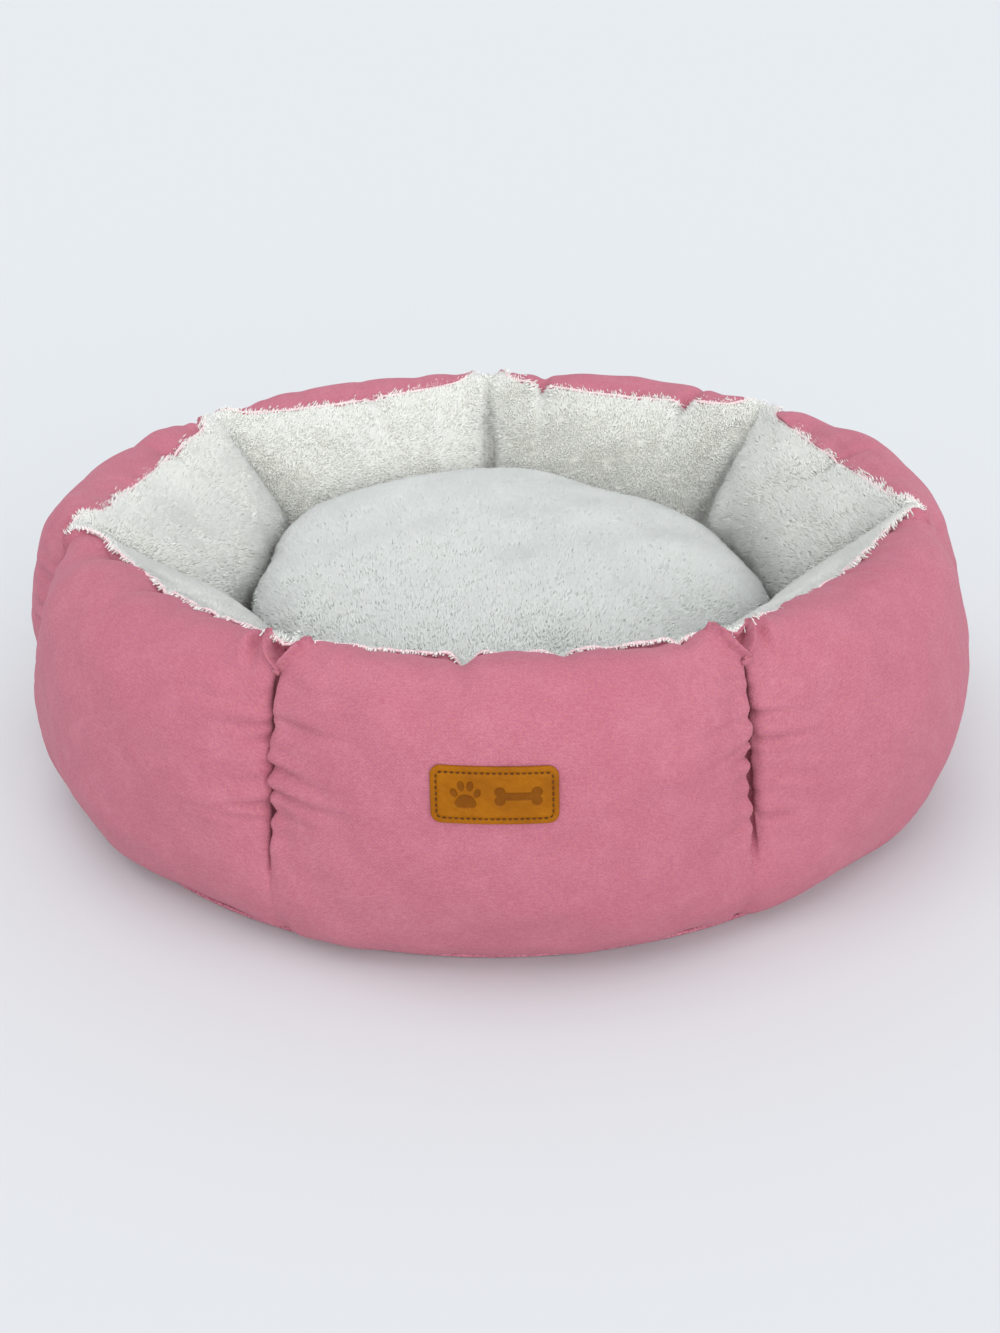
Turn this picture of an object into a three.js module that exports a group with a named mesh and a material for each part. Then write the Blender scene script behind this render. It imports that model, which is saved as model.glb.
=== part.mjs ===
// A round pet bed: a stuffed wall of seven pinched panels round a flat base,
// with a loose domed cushion lying in the nest.
// Millimetres, +Z up. The origin is on the floor, on the axis of the wall.
// -Y is the front, where the label is sewn on.
import * as THREE from 'three';

// ---- Driving dimensions ----

const PANELS = 7;
const FABRIC = 1.2;          // woven cover cloth
const PLUSH = 5;             // plush cloth, backing and pile together
const GAP = 0.8;             // air left between a cloth and what it wraps

// The wall's section, from the inside foot over the crown to the bottom hem.
// mid is [radius, height] half way along a panel, corner is the same at a pinched corner.
// crease is 1 where the corner is pulled in to a sharp fold, 0 where it only turns.
const SECTION = [
  { name: 'inner foot', mid: [182, 36], corner: [190, 36], crease: 0.5 },
  { name: 'inner lower', mid: [178, 58], corner: [192, 58], crease: 1 },
  { name: 'inner belly', mid: [177, 84], corner: [199, 84], crease: 1 },
  { name: 'inner upper', mid: [185, 113], corner: [215, 113], crease: 1 },
  { name: 'inner lip', mid: [208, 140], corner: [236, 146], crease: 0.8 },
  { name: 'rim seam', mid: [232, 156], corner: [250, 166], crease: 0.2 },
  { name: 'crown', mid: [256, 165], corner: [256, 161], crease: 0.6 },
  { name: 'shoulder', mid: [278, 150], corner: [260, 141], crease: 0.9 },
  { name: 'outer upper', mid: [290, 121], corner: [263, 115], crease: 1 },
  { name: 'outer belly', mid: [294, 84], corner: [271, 82], crease: 1 },
  { name: 'outer lower', mid: [292, 47], corner: [284, 47], crease: 0.5 },
  { name: 'outer foot', mid: [280, 17], corner: [278, 17], crease: 0 },
  { name: 'hem', mid: [262, 4], corner: [262, 4], crease: 0 },
];
const RIM = 5;
const OUTER_UPPER = 8;
const OUTER_BELLY = 9;
const HEM = SECTION.length - 1;
const HEART_RADIUS = 235;    // middle of the wall's section
const HEART_HEIGHT = 75;

// Places round one panel where the section is drawn: -1 and 1 are its two corners.
const PANEL_STEPS = [-1, -0.93, -0.76, -0.42, 0, 0.42, 0.76, 0.93];
const CREASE_POWER = 2.4;    // higher gives tighter folds at the corners

// How far each edge at the rim stops short of the seam, in section steps.
const LINING_STOP = 0.07;
const COVER_START = 0.08;
const RIM_SEAM_HALF = 0.04;
const RIM_SEAM_TOP = 0.3;
const RIM_SEAM_BOTTOM = 5;

// Filling: how deep under the wall's surface it starts, for each section step.
const FILL_DEPTH = [6, 6, 6, 6, 6, 7.5, 3.6, 2.2, 2.2, 2.2, 2.2, 2.2, 2.2];
const FILL_BOTTOM = 2.6;
const FILL_BOTTOM_OUTER = 256;
const FILL_BOTTOM_INNER = 198;
const FILL_END = 0.93;       // filling stops here, short of the stitched corner

// Corner tacks: one strong thread going to and fro through the wall at each corner.
const TACK_THREAD = 1.6;
const TACK_TOP = 136;
const TACK_PITCH = 14;
const TACK_PASSES = 5;
const TACK_STEPS = 27;
const TACK_INNER = [[84, 208], [113, 224], [146, 244]];   // height, radius
const TACK_OUTER = [[82, 265.5], [115, 257.5], [141, 254.5]];

// Base.
const BASE_RADIUS = 262;
const BASE_SEAM = { inner: 262.5, outer: 265.5, low: 0.5, high: 3.1 };
const BASE_PAD = { radius: 184, low: 1.9, high: 30, edge: 9 };
const FLOOR_LINING = { radius: 176.5, low: 31, high: 35 };
const FLOOR_SEAM = { inner: 177.2, outer: 181, low: 31.4, high: 35.2 };
const ROUND_STEPS = 56;

// Cushion.
const CUSHION_RADIUS = 172;
const CUSHION_LOW = 35.4;
const CUSHION_SEAM = 84;
const CUSHION_HIGH = 135;
const CUSHION_STEPS = 42;
const SEAM_HALF = 1.1;
const DOME_POWER = 2.4;
const DOME_ROUND = 1.6;
const UNDER_POWER = 6;

// Label.
const LABEL_WIDTH = 60;
const LABEL_HEIGHT = 27;
const LABEL_CORNER = 3.5;
const LABEL_THICK = 1.6;
const LABEL_GAP = 0.9;
const LABEL_CENTRE_Z = 111;
const LABEL_SHIFT = -10;     // along the wall, to the left seen from the front
const STITCH_INSET = 2.6;
const STITCH_WIDTH = 0.8;
const STITCH_THICK = 0.5;
const STITCH_GAP = 0.35;

// ---- Materials ----

const COVER_PINK = new THREE.MeshStandardMaterial({ color: 0xc4798a, roughness: 0.95 });
const PLUSH_WHITE = new THREE.MeshStandardMaterial({ color: 0xe4e3dc, roughness: 1 });
const FIBRE = new THREE.MeshStandardMaterial({ color: 0xf1f1ee, roughness: 1 });
const PINK_THREAD = new THREE.MeshStandardMaterial({ color: 0xb56577, roughness: 0.8 });
const PALE_THREAD = new THREE.MeshStandardMaterial({ color: 0xe8d8d6, roughness: 0.8 });
const WHITE_THREAD = new THREE.MeshStandardMaterial({ color: 0xdcdbd4, roughness: 0.8 });
const BASE_GREY = new THREE.MeshStandardMaterial({ color: 0x8f8c8c, roughness: 0.9 });
const LEATHER = new THREE.MeshStandardMaterial({ color: 0xa56505, roughness: 0.6 });
const BROWN_THREAD = new THREE.MeshStandardMaterial({ color: 0x6e3f10, roughness: 0.8 });

// ---- Helpers ----

function mix(a, b, t) {
  return a + (b - a) * t;
}

// How far the middle of a line between two points is from the heart of the wall.
function bulge(a, b) {
  const radius = Math.hypot((a.x + b.x) / 2, (a.y + b.y) / 2);
  return Math.hypot(radius - HEART_RADIUS, (a.z + b.z) / 2 - HEART_HEIGHT);
}

// A closed body from rings of points. Each ring is a closed outline, and each outline
// has the same number of points. wrap joins the last ring to the first; otherwise caps
// lists the triangles that close one ring, and both ends get them. Each four-sided face
// is split along the diagonal that bulges out of the wall, so that neighbouring layers
// are split alike and don't cut into one another.
function loft(rings, wrap, caps) {
  const count = rings[0].length;
  const points = rings.flat();
  const positions = points.flatMap((point) => [point.x, point.y, point.z]);
  const index = [];
  const spans = wrap ? rings.length : rings.length - 1;
  for (let i = 0; i < spans; i += 1) {
    const here = i * count;
    const next = ((i + 1) % rings.length) * count;
    for (let j = 0; j < count; j += 1) {
      const k = (j + 1) % count;
      const [a, b, c, d] = [here + j, next + j, next + k, here + k];
      if (bulge(points[a], points[c]) > bulge(points[b], points[d])) {
        index.push(a, b, c, a, c, d);
      } else {
        index.push(b, c, d, b, d, a);
      }
    }
  }
  if (!wrap) {
    const last = (rings.length - 1) * count;
    for (const [a, b, c] of caps) {
      index.push(a, b, c);
      index.push(last + a, last + c, last + b);
    }
  }
  return facingOut(positions, index);
}

// Turns every triangle round when the body's volume comes out negative.
function facingOut(positions, index) {
  const a = new THREE.Vector3();
  const b = new THREE.Vector3();
  const c = new THREE.Vector3();
  let volume = 0;
  for (let i = 0; i < index.length; i += 3) {
    a.fromArray(positions, index[i] * 3);
    b.fromArray(positions, index[i + 1] * 3);
    c.fromArray(positions, index[i + 2] * 3);
    volume += a.dot(b.cross(c));
  }
  if (volume < 0) {
    for (let i = 0; i < index.length; i += 3) {
      const second = index[i + 1];
      index[i + 1] = index[i + 2];
      index[i + 2] = second;
    }
  }
  const geometry = new THREE.BufferGeometry();
  geometry.setAttribute('position', new THREE.Float32BufferAttribute(positions, 3));
  geometry.setIndex(index);
  geometry.computeVertexNormals();
  return geometry;
}

// A body of revolution about Z from a closed outline of [radius, height] pairs, or an
// outline that starts and ends on the axis.
function revolve(outline, steps) {
  const points = outline.map(([radius, height]) => new THREE.Vector2(radius, height));
  const geometry = new THREE.LatheGeometry(points, steps);
  geometry.rotateX(Math.PI / 2);
  const flat = geometry.toNonIndexed();
  if (signedVolume(flat) < 0) {
    flipTriangles(flat);
  }
  flat.computeVertexNormals();
  return flat;
}

function signedVolume(geometry) {
  const position = geometry.getAttribute('position');
  const a = new THREE.Vector3();
  const b = new THREE.Vector3();
  const c = new THREE.Vector3();
  let volume = 0;
  for (let i = 0; i < position.count; i += 3) {
    a.fromBufferAttribute(position, i);
    b.fromBufferAttribute(position, i + 1);
    c.fromBufferAttribute(position, i + 2);
    volume += a.dot(b.cross(c));
  }
  return volume;
}

function flipTriangles(geometry) {
  const position = geometry.getAttribute('position');
  const b = new THREE.Vector3();
  const c = new THREE.Vector3();
  for (let i = 0; i < position.count; i += 3) {
    b.fromBufferAttribute(position, i + 1);
    c.fromBufferAttribute(position, i + 2);
    position.setXYZ(i + 1, c.x, c.y, c.z);
    position.setXYZ(i + 2, b.x, b.y, b.z);
  }
}

function named(name, geometry, material) {
  const mesh = new THREE.Mesh(geometry, material);
  mesh.name = name;
  return mesh;
}

// ---- The wall's surface ----

// Azimuth of a place on a panel. Panel 0 is the front one, and they run anticlockwise
// seen from above. across is -1 at one corner and 1 at the next.
function azimuth(panel, across) {
  return -Math.PI / 2 + (panel * 2 * Math.PI) / PANELS + (across * Math.PI) / PANELS;
}

// 0 in the middle of a panel and 1 at its corners.
function cornerShare(step, across) {
  const w = Math.min(1, Math.abs(across));
  const folded = 1 - Math.sqrt(Math.max(0, 1 - w ** CREASE_POWER));
  return mix(w * w, folded, SECTION[step].crease);
}

// [radius, height] of one section step on the wall's outside surface.
function surfaceStep(step, across) {
  const { mid, corner } = SECTION[step];
  const share = cornerShare(step, across);
  return [mix(mid[0], corner[0], share), mix(mid[1], corner[1], share)];
}

// The same, moved into the wall by depth, square to the section.
function buriedStep(step, across, depth) {
  const [radius, height] = surfaceStep(step, across);
  const before = surfaceStep(Math.max(0, step - 1), across);
  const after = surfaceStep(Math.min(HEM, step + 1), across);
  const run = new THREE.Vector2(after[0] - before[0], after[1] - before[1]).normalize();
  return [radius + run.y * depth, height - run.x * depth];
}

// Any place along the section: whole numbers are the section steps.
function buried(place, across, depth) {
  const low = Math.min(HEM - 1, Math.floor(place));
  const first = buriedStep(low, across, depth);
  const second = buriedStep(low + 1, across, depth);
  return [mix(first[0], second[0], place - low), mix(first[1], second[1], place - low)];
}

function turned([radius, height], angle) {
  return new THREE.Vector3(radius * Math.cos(angle), radius * Math.sin(angle), height);
}

// A ring all the way round the wall. outline(across) gives its cross-section.
function ringRound(outline) {
  const rings = [];
  for (let panel = 0; panel < PANELS; panel += 1) {
    for (const across of PANEL_STEPS) {
      const angle = azimuth(panel, across);
      rings.push(outline(across).map((point) => turned(point, angle)));
    }
  }
  return loft(rings, true, []);
}

// Section places from one to another, with every whole step between them.
function placesBetween(from, to) {
  const places = [from];
  for (let step = Math.floor(from) + 1; step < to; step += 1) {
    places.push(step);
  }
  places.push(to);
  return places;
}

// A cloth that lies on the wall's surface from one place along the section to another.
function cloth(from, to, thickness) {
  const places = placesBetween(from, to);
  return ringRound((across) => {
    const face = places.map((place) => buried(place, across, 0));
    const back = places.map((place) => buried(place, across, thickness));
    return face.concat(back.reverse());
  });
}

// ---- Wall ----

function outerCover() {
  return named('outer_cover', cloth(RIM + COVER_START, HEM, FABRIC), COVER_PINK);
}

function wallLining() {
  return named('wall_lining', cloth(0, RIM - LINING_STOP, PLUSH), PLUSH_WHITE);
}

// The joined edges of cover and lining, turned down into the wall.
function rimSeam() {
  const places = [RIM - RIM_SEAM_HALF, RIM, RIM + RIM_SEAM_HALF];
  const geometry = ringRound((across) => {
    const top = places.map((place) => buried(place, across, RIM_SEAM_TOP));
    const bottom = places.map((place) => buried(place, across, RIM_SEAM_BOTTOM));
    return top.concat(bottom.reverse());
  });
  return named('rim_seam', geometry, PALE_THREAD);
}

// One panel's filling, from one stitched corner nearly to the next.
function bolsterFill(panel) {
  const steps = PANEL_STEPS.filter((across) => Math.abs(across) <= FILL_END);
  const outline = (across) => {
    const ring = SECTION.map((step, i) => buriedStep(i, across, FILL_DEPTH[i]));
    ring.push([FILL_BOTTOM_OUTER, FILL_BOTTOM]);
    ring.push([FILL_BOTTOM_INNER, FILL_BOTTOM]);
    return ring;
  };
  const rings = steps.map((across) => {
    const angle = azimuth(panel, across);
    return outline(across).map((point) => turned(point, angle));
  });
  const flat = outline(FILL_END).map(([radius, height]) => new THREE.Vector2(radius, height));
  // The outline runs clockwise and triangulateShape answers anticlockwise.
  const caps = THREE.ShapeUtils.triangulateShape(flat, []).map(([a, b, c]) => [a, c, b]);
  return named(`bolster_fill_${panel + 1}`, loft(rings, false, caps), FIBRE);
}

// Radius at a height, read from a short list of [height, radius] pairs.
function radiusAt(list, height) {
  let i = 0;
  while (i < list.length - 2 && height > list[i + 1][0]) {
    i += 1;
  }
  const [[lowZ, lowR], [highZ, highR]] = [list[i], list[i + 1]];
  return mix(lowR, highR, (height - lowZ) / (highZ - lowZ));
}

// The thread that pulls the two faces of the wall together at a corner. It crosses the
// wall several times inside the gap between two fillings.
function cornerTack(corner) {
  const angle = azimuth(corner, 1);
  const points = [];
  for (let pass = 0; pass < TACK_PASSES; pass += 1) {
    const height = TACK_TOP - pass * TACK_PITCH;
    const ends = [[radiusAt(TACK_OUTER, height), height], [radiusAt(TACK_INNER, height), height]];
    if (pass % 2 === 1) {
      ends.reverse();
    }
    points.push(...ends.map((end) => turned(end, angle)));
  }
  const half = TACK_THREAD / 2;
  const section = new THREE.Shape([
    new THREE.Vector2(-half, -half),
    new THREE.Vector2(half, -half),
    new THREE.Vector2(half, half),
    new THREE.Vector2(-half, half),
  ]);
  const path = new THREE.CatmullRomCurve3(points, false, 'chordal');
  const geometry = new THREE.ExtrudeGeometry(section, { steps: TACK_STEPS, extrudePath: path });
  return named(`corner_tack_${corner + 1}`, geometry, PINK_THREAD);
}

// ---- Base ----

function disc(radius, low, high) {
  return revolve([[0, low], [radius, low], [radius, high], [0, high]], ROUND_STEPS);
}

function band({ inner, outer, low, high }) {
  const outline = [[inner, low], [outer, low], [outer, high], [inner, high], [inner, low]];
  return revolve(outline, ROUND_STEPS);
}

function baseFabric() {
  return named('base_fabric', disc(BASE_RADIUS, 0, FABRIC), BASE_GREY);
}

function baseSeam() {
  return named('base_seam', band(BASE_SEAM), PINK_THREAD);
}

function basePad() {
  const { radius, low, high, edge } = BASE_PAD;
  const outline = [
    [0, low],
    [radius - edge, low],
    [radius, low + edge],
    [radius, high - edge],
    [radius - edge, high],
    [0, high],
  ];
  return named('base_pad', revolve(outline, ROUND_STEPS), FIBRE);
}

function floorLining() {
  const { radius, low, high } = FLOOR_LINING;
  return named('floor_lining', disc(radius, low, high), PLUSH_WHITE);
}

function floorSeam() {
  return named('floor_seam', band(FLOOR_SEAM), WHITE_THREAD);
}

// ---- Cushion ----

// Height above or below the edge seam, as a share of the full dome, at a share of the radius.
function domeShare(share, power) {
  return Math.max(0, 1 - share ** power) ** (1 / DOME_ROUND);
}

const DOME_PLACES = [0, 0.3, 0.54, 0.74, 0.88, 0.96, 1];

// Outline of one half of the cushion, from the axis to its edge.
function halfOutline(radius, seam, crown, power) {
  return DOME_PLACES.map((share) => [
    share * radius,
    seam + (crown - seam) * domeShare(share, power),
  ]);
}

function cushionTop() {
  const seam = CUSHION_SEAM + SEAM_HALF + GAP / 2;
  const face = halfOutline(CUSHION_RADIUS, seam, CUSHION_HIGH, DOME_POWER);
  const inner = CUSHION_RADIUS - PLUSH;
  const back = halfOutline(inner, seam, CUSHION_HIGH - PLUSH, DOME_POWER);
  return named('cushion_top', revolve(face.concat(back.reverse()), CUSHION_STEPS), PLUSH_WHITE);
}

function cushionBottom() {
  const seam = CUSHION_SEAM - SEAM_HALF - GAP / 2;
  const face = halfOutline(CUSHION_RADIUS, seam, CUSHION_LOW, UNDER_POWER);
  const inner = CUSHION_RADIUS - FABRIC;
  const back = halfOutline(inner, seam, CUSHION_LOW + FABRIC, UNDER_POWER);
  const geometry = revolve(face.concat(back.reverse()), CUSHION_STEPS);
  return named('cushion_bottom', geometry, PLUSH_WHITE);
}

function cushionSeam() {
  const size = {
    inner: CUSHION_RADIUS - PLUSH,
    outer: CUSHION_RADIUS + GAP / 2,
    low: CUSHION_SEAM - SEAM_HALF,
    high: CUSHION_SEAM + SEAM_HALF,
  };
  return named('cushion_seam', band(size), WHITE_THREAD);
}

function cushionFill() {
  const radius = CUSHION_RADIUS - PLUSH - GAP;
  const crown = CUSHION_HIGH - PLUSH - GAP * 2;
  const low = CUSHION_LOW + FABRIC + GAP;
  const top = halfOutline(radius, CUSHION_SEAM + SEAM_HALF, crown, DOME_POWER);
  const under = halfOutline(radius, CUSHION_SEAM - SEAM_HALF, low, UNDER_POWER);
  return named('cushion_fill', revolve(top.concat(under.reverse()), CUSHION_STEPS), FIBRE);
}

// ---- Label ----

// A place on the front panel's outside, lifted off the cloth. along and up are measured
// from the label's centre.
function onFront(along, up, lift) {
  const height = LABEL_CENTRE_Z + up;
  const top = SECTION[OUTER_UPPER].mid;
  const above = SECTION[OUTER_UPPER - 1].mid;
  const below = SECTION[OUTER_BELLY].mid;
  const [start, high, low] =
    height > top[1] ? [OUTER_UPPER - 1, above, top] : [OUTER_UPPER, top, below];
  const place = start + (high[1] - height) / (high[1] - low[1]);
  const across = ((along + LABEL_SHIFT) / top[0]) * (PANELS / Math.PI);
  const next = PANEL_STEPS.findIndex((step) => step > across);
  const [left, right] = [PANEL_STEPS[next - 1], PANEL_STEPS[next]];
  const point = turned(buried(place, left, 0), azimuth(0, left));
  point.lerp(turned(buried(place, right, 0), azimuth(0, right)), (across - left) / (right - left));
  return point.add(turned([lift, 0], azimuth(0, across)));
}

// Half height of a rounded rectangle at a place along it.
function halfHeightAt(along, width, height, corner) {
  const into = Math.max(0, Math.abs(along) - (width / 2 - corner));
  return height / 2 - corner + Math.sqrt(Math.max(0, corner * corner - into * into));
}

function labelPatch() {
  const corner = [-1, -0.97, -0.92, -0.885];
  const middle = [-0.66, -0.44, -0.22, 0, 0.22, 0.44, 0.66];
  const places = [...corner, ...middle, ...corner.map((share) => -share).reverse()];
  const rows = [-1, -0.2, 0.6, 1];
  const rings = places.map((share) => {
    const along = (share * LABEL_WIDTH) / 2;
    const half = halfHeightAt(along, LABEL_WIDTH, LABEL_HEIGHT, LABEL_CORNER);
    const back = rows.map((row) => onFront(along, row * half, LABEL_GAP));
    const face = rows.map((row) => onFront(along, row * half, LABEL_GAP + LABEL_THICK));
    return back.concat(face.reverse());
  });
  const caps = [[0, 1, 6], [0, 6, 7], [1, 2, 5], [1, 5, 6], [2, 3, 4], [2, 4, 5]];
  return named('label_patch', loft(rings, false, caps), LEATHER);
}

// One closed loop of thread on the patch, just inside its edge.
function labelStitching() {
  const width = LABEL_WIDTH - 2 * STITCH_INSET;
  const height = LABEL_HEIGHT - 2 * STITCH_INSET;
  const path = [];
  const sides = [
    { from: [-1, -1], to: [1, -1], parts: 8 },
    { from: [1, -1], to: [1, 1], parts: 4 },
    { from: [1, 1], to: [-1, 1], parts: 8 },
    { from: [-1, 1], to: [-1, -1], parts: 4 },
  ];
  for (const { from, to, parts } of sides) {
    for (let i = 0; i < parts; i += 1) {
      path.push([mix(from[0], to[0], i / parts), mix(from[1], to[1], i / parts)]);
    }
  }
  const low = LABEL_GAP + LABEL_THICK + STITCH_GAP;
  const rings = path.map(([x, y]) => {
    const out = [(x * width) / 2, (y * height) / 2];
    const inside = [x * (width / 2 - STITCH_WIDTH), y * (height / 2 - STITCH_WIDTH)];
    return [
      onFront(out[0], out[1], low),
      onFront(out[0], out[1], low + STITCH_THICK),
      onFront(inside[0], inside[1], low + STITCH_THICK),
      onFront(inside[0], inside[1], low),
    ];
  });
  return named('label_stitching', loft(rings, true, []), BROWN_THREAD);
}

// ---- Assembly ----

const bed = new THREE.Group();
bed.add(outerCover(), wallLining(), rimSeam());
for (let panel = 0; panel < PANELS; panel += 1) {
  bed.add(bolsterFill(panel));
}
for (let corner = 0; corner < PANELS; corner += 1) {
  bed.add(cornerTack(corner));
}
bed.add(baseFabric(), baseSeam(), basePad(), floorLining(), floorSeam());
bed.add(cushionTop(), cushionBottom(), cushionFill(), cushionSeam());
bed.add(labelPatch(), labelStitching());

export default bed;
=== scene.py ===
import math
import bpy
import numpy as np
from mathutils import Matrix, Vector


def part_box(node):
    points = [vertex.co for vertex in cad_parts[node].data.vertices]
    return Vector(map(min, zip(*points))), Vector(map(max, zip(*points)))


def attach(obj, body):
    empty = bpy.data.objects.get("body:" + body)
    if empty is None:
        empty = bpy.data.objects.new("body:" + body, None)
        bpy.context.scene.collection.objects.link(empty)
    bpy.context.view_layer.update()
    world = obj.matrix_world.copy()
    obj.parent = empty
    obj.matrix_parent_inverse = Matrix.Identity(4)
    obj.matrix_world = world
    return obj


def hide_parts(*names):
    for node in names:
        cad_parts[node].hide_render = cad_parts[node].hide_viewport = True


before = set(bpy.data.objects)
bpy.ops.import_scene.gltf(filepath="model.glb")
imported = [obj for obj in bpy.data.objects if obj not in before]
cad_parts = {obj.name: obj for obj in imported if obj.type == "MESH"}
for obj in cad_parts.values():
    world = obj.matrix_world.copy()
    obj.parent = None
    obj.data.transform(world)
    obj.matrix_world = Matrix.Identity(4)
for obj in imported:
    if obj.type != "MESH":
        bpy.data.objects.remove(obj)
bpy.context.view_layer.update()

MM = 0.001
PANELS = 7
HALF = math.pi / PANELS          # half the angle of one wall panel
TAU = 2 * math.pi

cover_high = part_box("outer_cover")[1]
label_low, label_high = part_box("label_patch")
WIDE = cover_high.x / 0.29233    # 1 when the bed has its own size
TALL = cover_high.z / 0.16533

# The wall's section, closed, from the inner foot over the rim and under the wall: radius and
# height in mid panel, then at a pinched corner (mm), and how sharply the corner folds.
SECTION = [
    ((182, 36), (190, 36), 0.5),            # inner foot
    ((178, 58), (192, 58), 1),              # inner lower
    ((176, 84), (197, 84), 1),              # inner belly
    ((182, 113), (214, 113), 1),            # inner upper
    ((205, 141), (236, 146), 0.85),         # inner lip
    ((231, 157), (249, 166), 0.3),          # rim seam
    ((256, 165), (257, 161), 0.6),          # crown
    ((279, 150), (260, 141), 0.9),          # shoulder
    ((291, 121), (262, 115), 1),            # outer upper
    ((295, 84), (269, 82), 1),              # outer belly
    ((292, 46), (284, 46), 0.5),            # outer lower
    ((280, 16), (279, 16), 0),              # outer foot
    ((262, 3.2), (262, 3.2), 0),            # hem
    ((225, 2.2), (225, 2.2), 0),            # under
    ((190, 5), (196, 5), 0),                # under foot
]
STEPS = len(SECTION)
RIM, CROWN, HEM = 5, 6, 12       # steps of the section
MID_PANEL, AT_CORNER = (np.array([row[k] for row in SECTION], float) for k in (0, 1))
CREASE = np.array([[row[2]] for row in SECTION], float)
CREASE_POWER = 2.4
CORNER_SPAN = 0.262              # metres for each radian, to measure how far a corner is
CLOTH_SPAN = 0.283               # the same round the cover, for its cloth map


# ---------------------------------------------------------------- small helpers

def catmull(a, b, c, d, f):
    """Catmull-Rom curve between b and c, read at f from 0 to 1."""
    return 0.5 * (2 * b + (c - a) * f + (2 * a - 5 * b + 4 * c - d) * f ** 2
                  + (3 * b - a - 3 * c + d) * f ** 3)


def spline(points, places):
    """Closed curve through points, read at places (whole numbers are the points)."""
    i = np.floor(places).astype(int)
    return catmull(*(points[(i + k) % len(points)] for k in (-1, 0, 1, 2)),
                   (places - i)[:, None])


def unit(vectors, least=1e-12):
    return vectors / np.maximum(np.linalg.norm(vectors, axis=-1, keepdims=True), least)


def fade(x, low, high):
    """0 below low, 1 above high, smooth between."""
    t = np.clip((x - low) / (high - low), 0, 1)
    return t * t * (3 - 2 * t)


def turned(radius, angle, height):
    """Points at a radius, azimuth and height."""
    return np.stack(np.broadcast_arrays(radius * np.cos(angle), radius * np.sin(angle),
                                        height), -1)


def hump(x, middle, width):
    return np.exp(-((x - middle) / width) ** 2)


def wrap(angle):
    return (angle + math.pi) % TAU - math.pi


def across_of(angles):
    """How far each azimuth is across its panel, from -1 to 1."""
    return ((angles + math.pi / 2) / HALF + 1) % 2 - 1


def side_of(angles):
    """How far each azimuth is from the nearest corner, in metres along the wall."""
    return (1 - np.abs(across_of(angles))) * HALF * CORNER_SPAN


def corner_of(angles):
    """Number of the nearest corner: 0 is front left, 1 front right, and on round."""
    return np.round((angles + math.pi / 2) / (2 * HALF) + 0.5).astype(int) % PANELS


def waves(seed, count, low, high, x, y):
    """Smooth seeded unevenness: a sum of sine waves across x and y, about -1 to 1."""
    rng = np.random.default_rng(seed)
    total = np.zeros(np.broadcast(x, y).shape)
    for _ in range(count):
        turn, size, shift = rng.uniform(0, TAU), rng.uniform(low, high), rng.uniform(0, TAU)
        total += np.sin(TAU * (x * math.cos(turn) + y * math.sin(turn)) / size + shift)
    return total / math.sqrt(count)


def grid_faces(rows, cols, close_rows, close_cols):
    """Four-sided faces of a rows by cols grid of points."""
    i = np.arange(rows if close_rows else rows - 1)[:, None]
    j = np.arange(cols if close_cols else cols - 1)[None]
    down, across = (i + 1) % rows, (j + 1) % cols
    corners = [i * cols + j, down * cols + j, down * cols + across, i * cols + across]
    return np.stack(corners, -1).reshape(-1, 4)


def mesh_object(name, points, faces, *materials, slots=None, smooth=True):
    """A mesh object from arrays. All faces have the same number of corners, and slots says
    which of the materials each one has."""
    mesh = bpy.data.meshes.new(name)
    mesh.vertices.add(len(points))
    mesh.vertices.foreach_set("co", np.asarray(points, np.float32).ravel())
    mesh.loops.add(faces.size)
    mesh.loops.foreach_set("vertex_index", faces.astype(np.int32).ravel())
    mesh.polygons.add(len(faces))
    mesh.polygons.foreach_set("loop_start", np.arange(0, faces.size, faces.shape[1]))
    mesh.polygons.foreach_set("loop_total", np.full(len(faces), faces.shape[1]))
    if slots is not None:
        mesh.polygons.foreach_set("material_index", slots.astype(np.int32))
    mesh.update(calc_edges=True)
    mesh.validate()
    if smooth:
        mesh.shade_smooth()
    for material in materials:
        mesh.materials.append(material)
    thing = bpy.data.objects.new(name, mesh)
    bpy.context.scene.collection.objects.link(thing)
    return thing


def set_cloth_map(thing, across, along, round_trip):
    """Stores each corner's place on the cloth, in metres, as the UV map 'cloth'. Faces of
    four corners that meet round the back are carried on past round_trip."""
    mesh = thing.data
    layer = mesh.uv_layers.new(name="cloth")
    index = np.zeros(len(mesh.loops), np.int32)
    mesh.loops.foreach_get("vertex_index", index)
    u = across.ravel()[index].reshape(-1, 4)
    u = np.where(u.max(1, keepdims=True) - u > round_trip / 2, u + round_trip, u)
    uv = np.stack([u.ravel(), along.ravel()[index]], -1)
    layer.data.foreach_set("uv", uv.astype(np.float32).ravel())


def normals_of(grid, close_rows=True, close_cols=True):
    """Unit normals of a grid of points."""
    def slope(axis, closed):
        if closed:
            return np.roll(grid, -1, axis) - np.roll(grid, 1, axis)
        return np.gradient(grid, axis=axis)
    return unit(np.cross(slope(0, close_rows), slope(1, close_cols)))


# ---------------------------------------------------------------- materials

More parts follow.
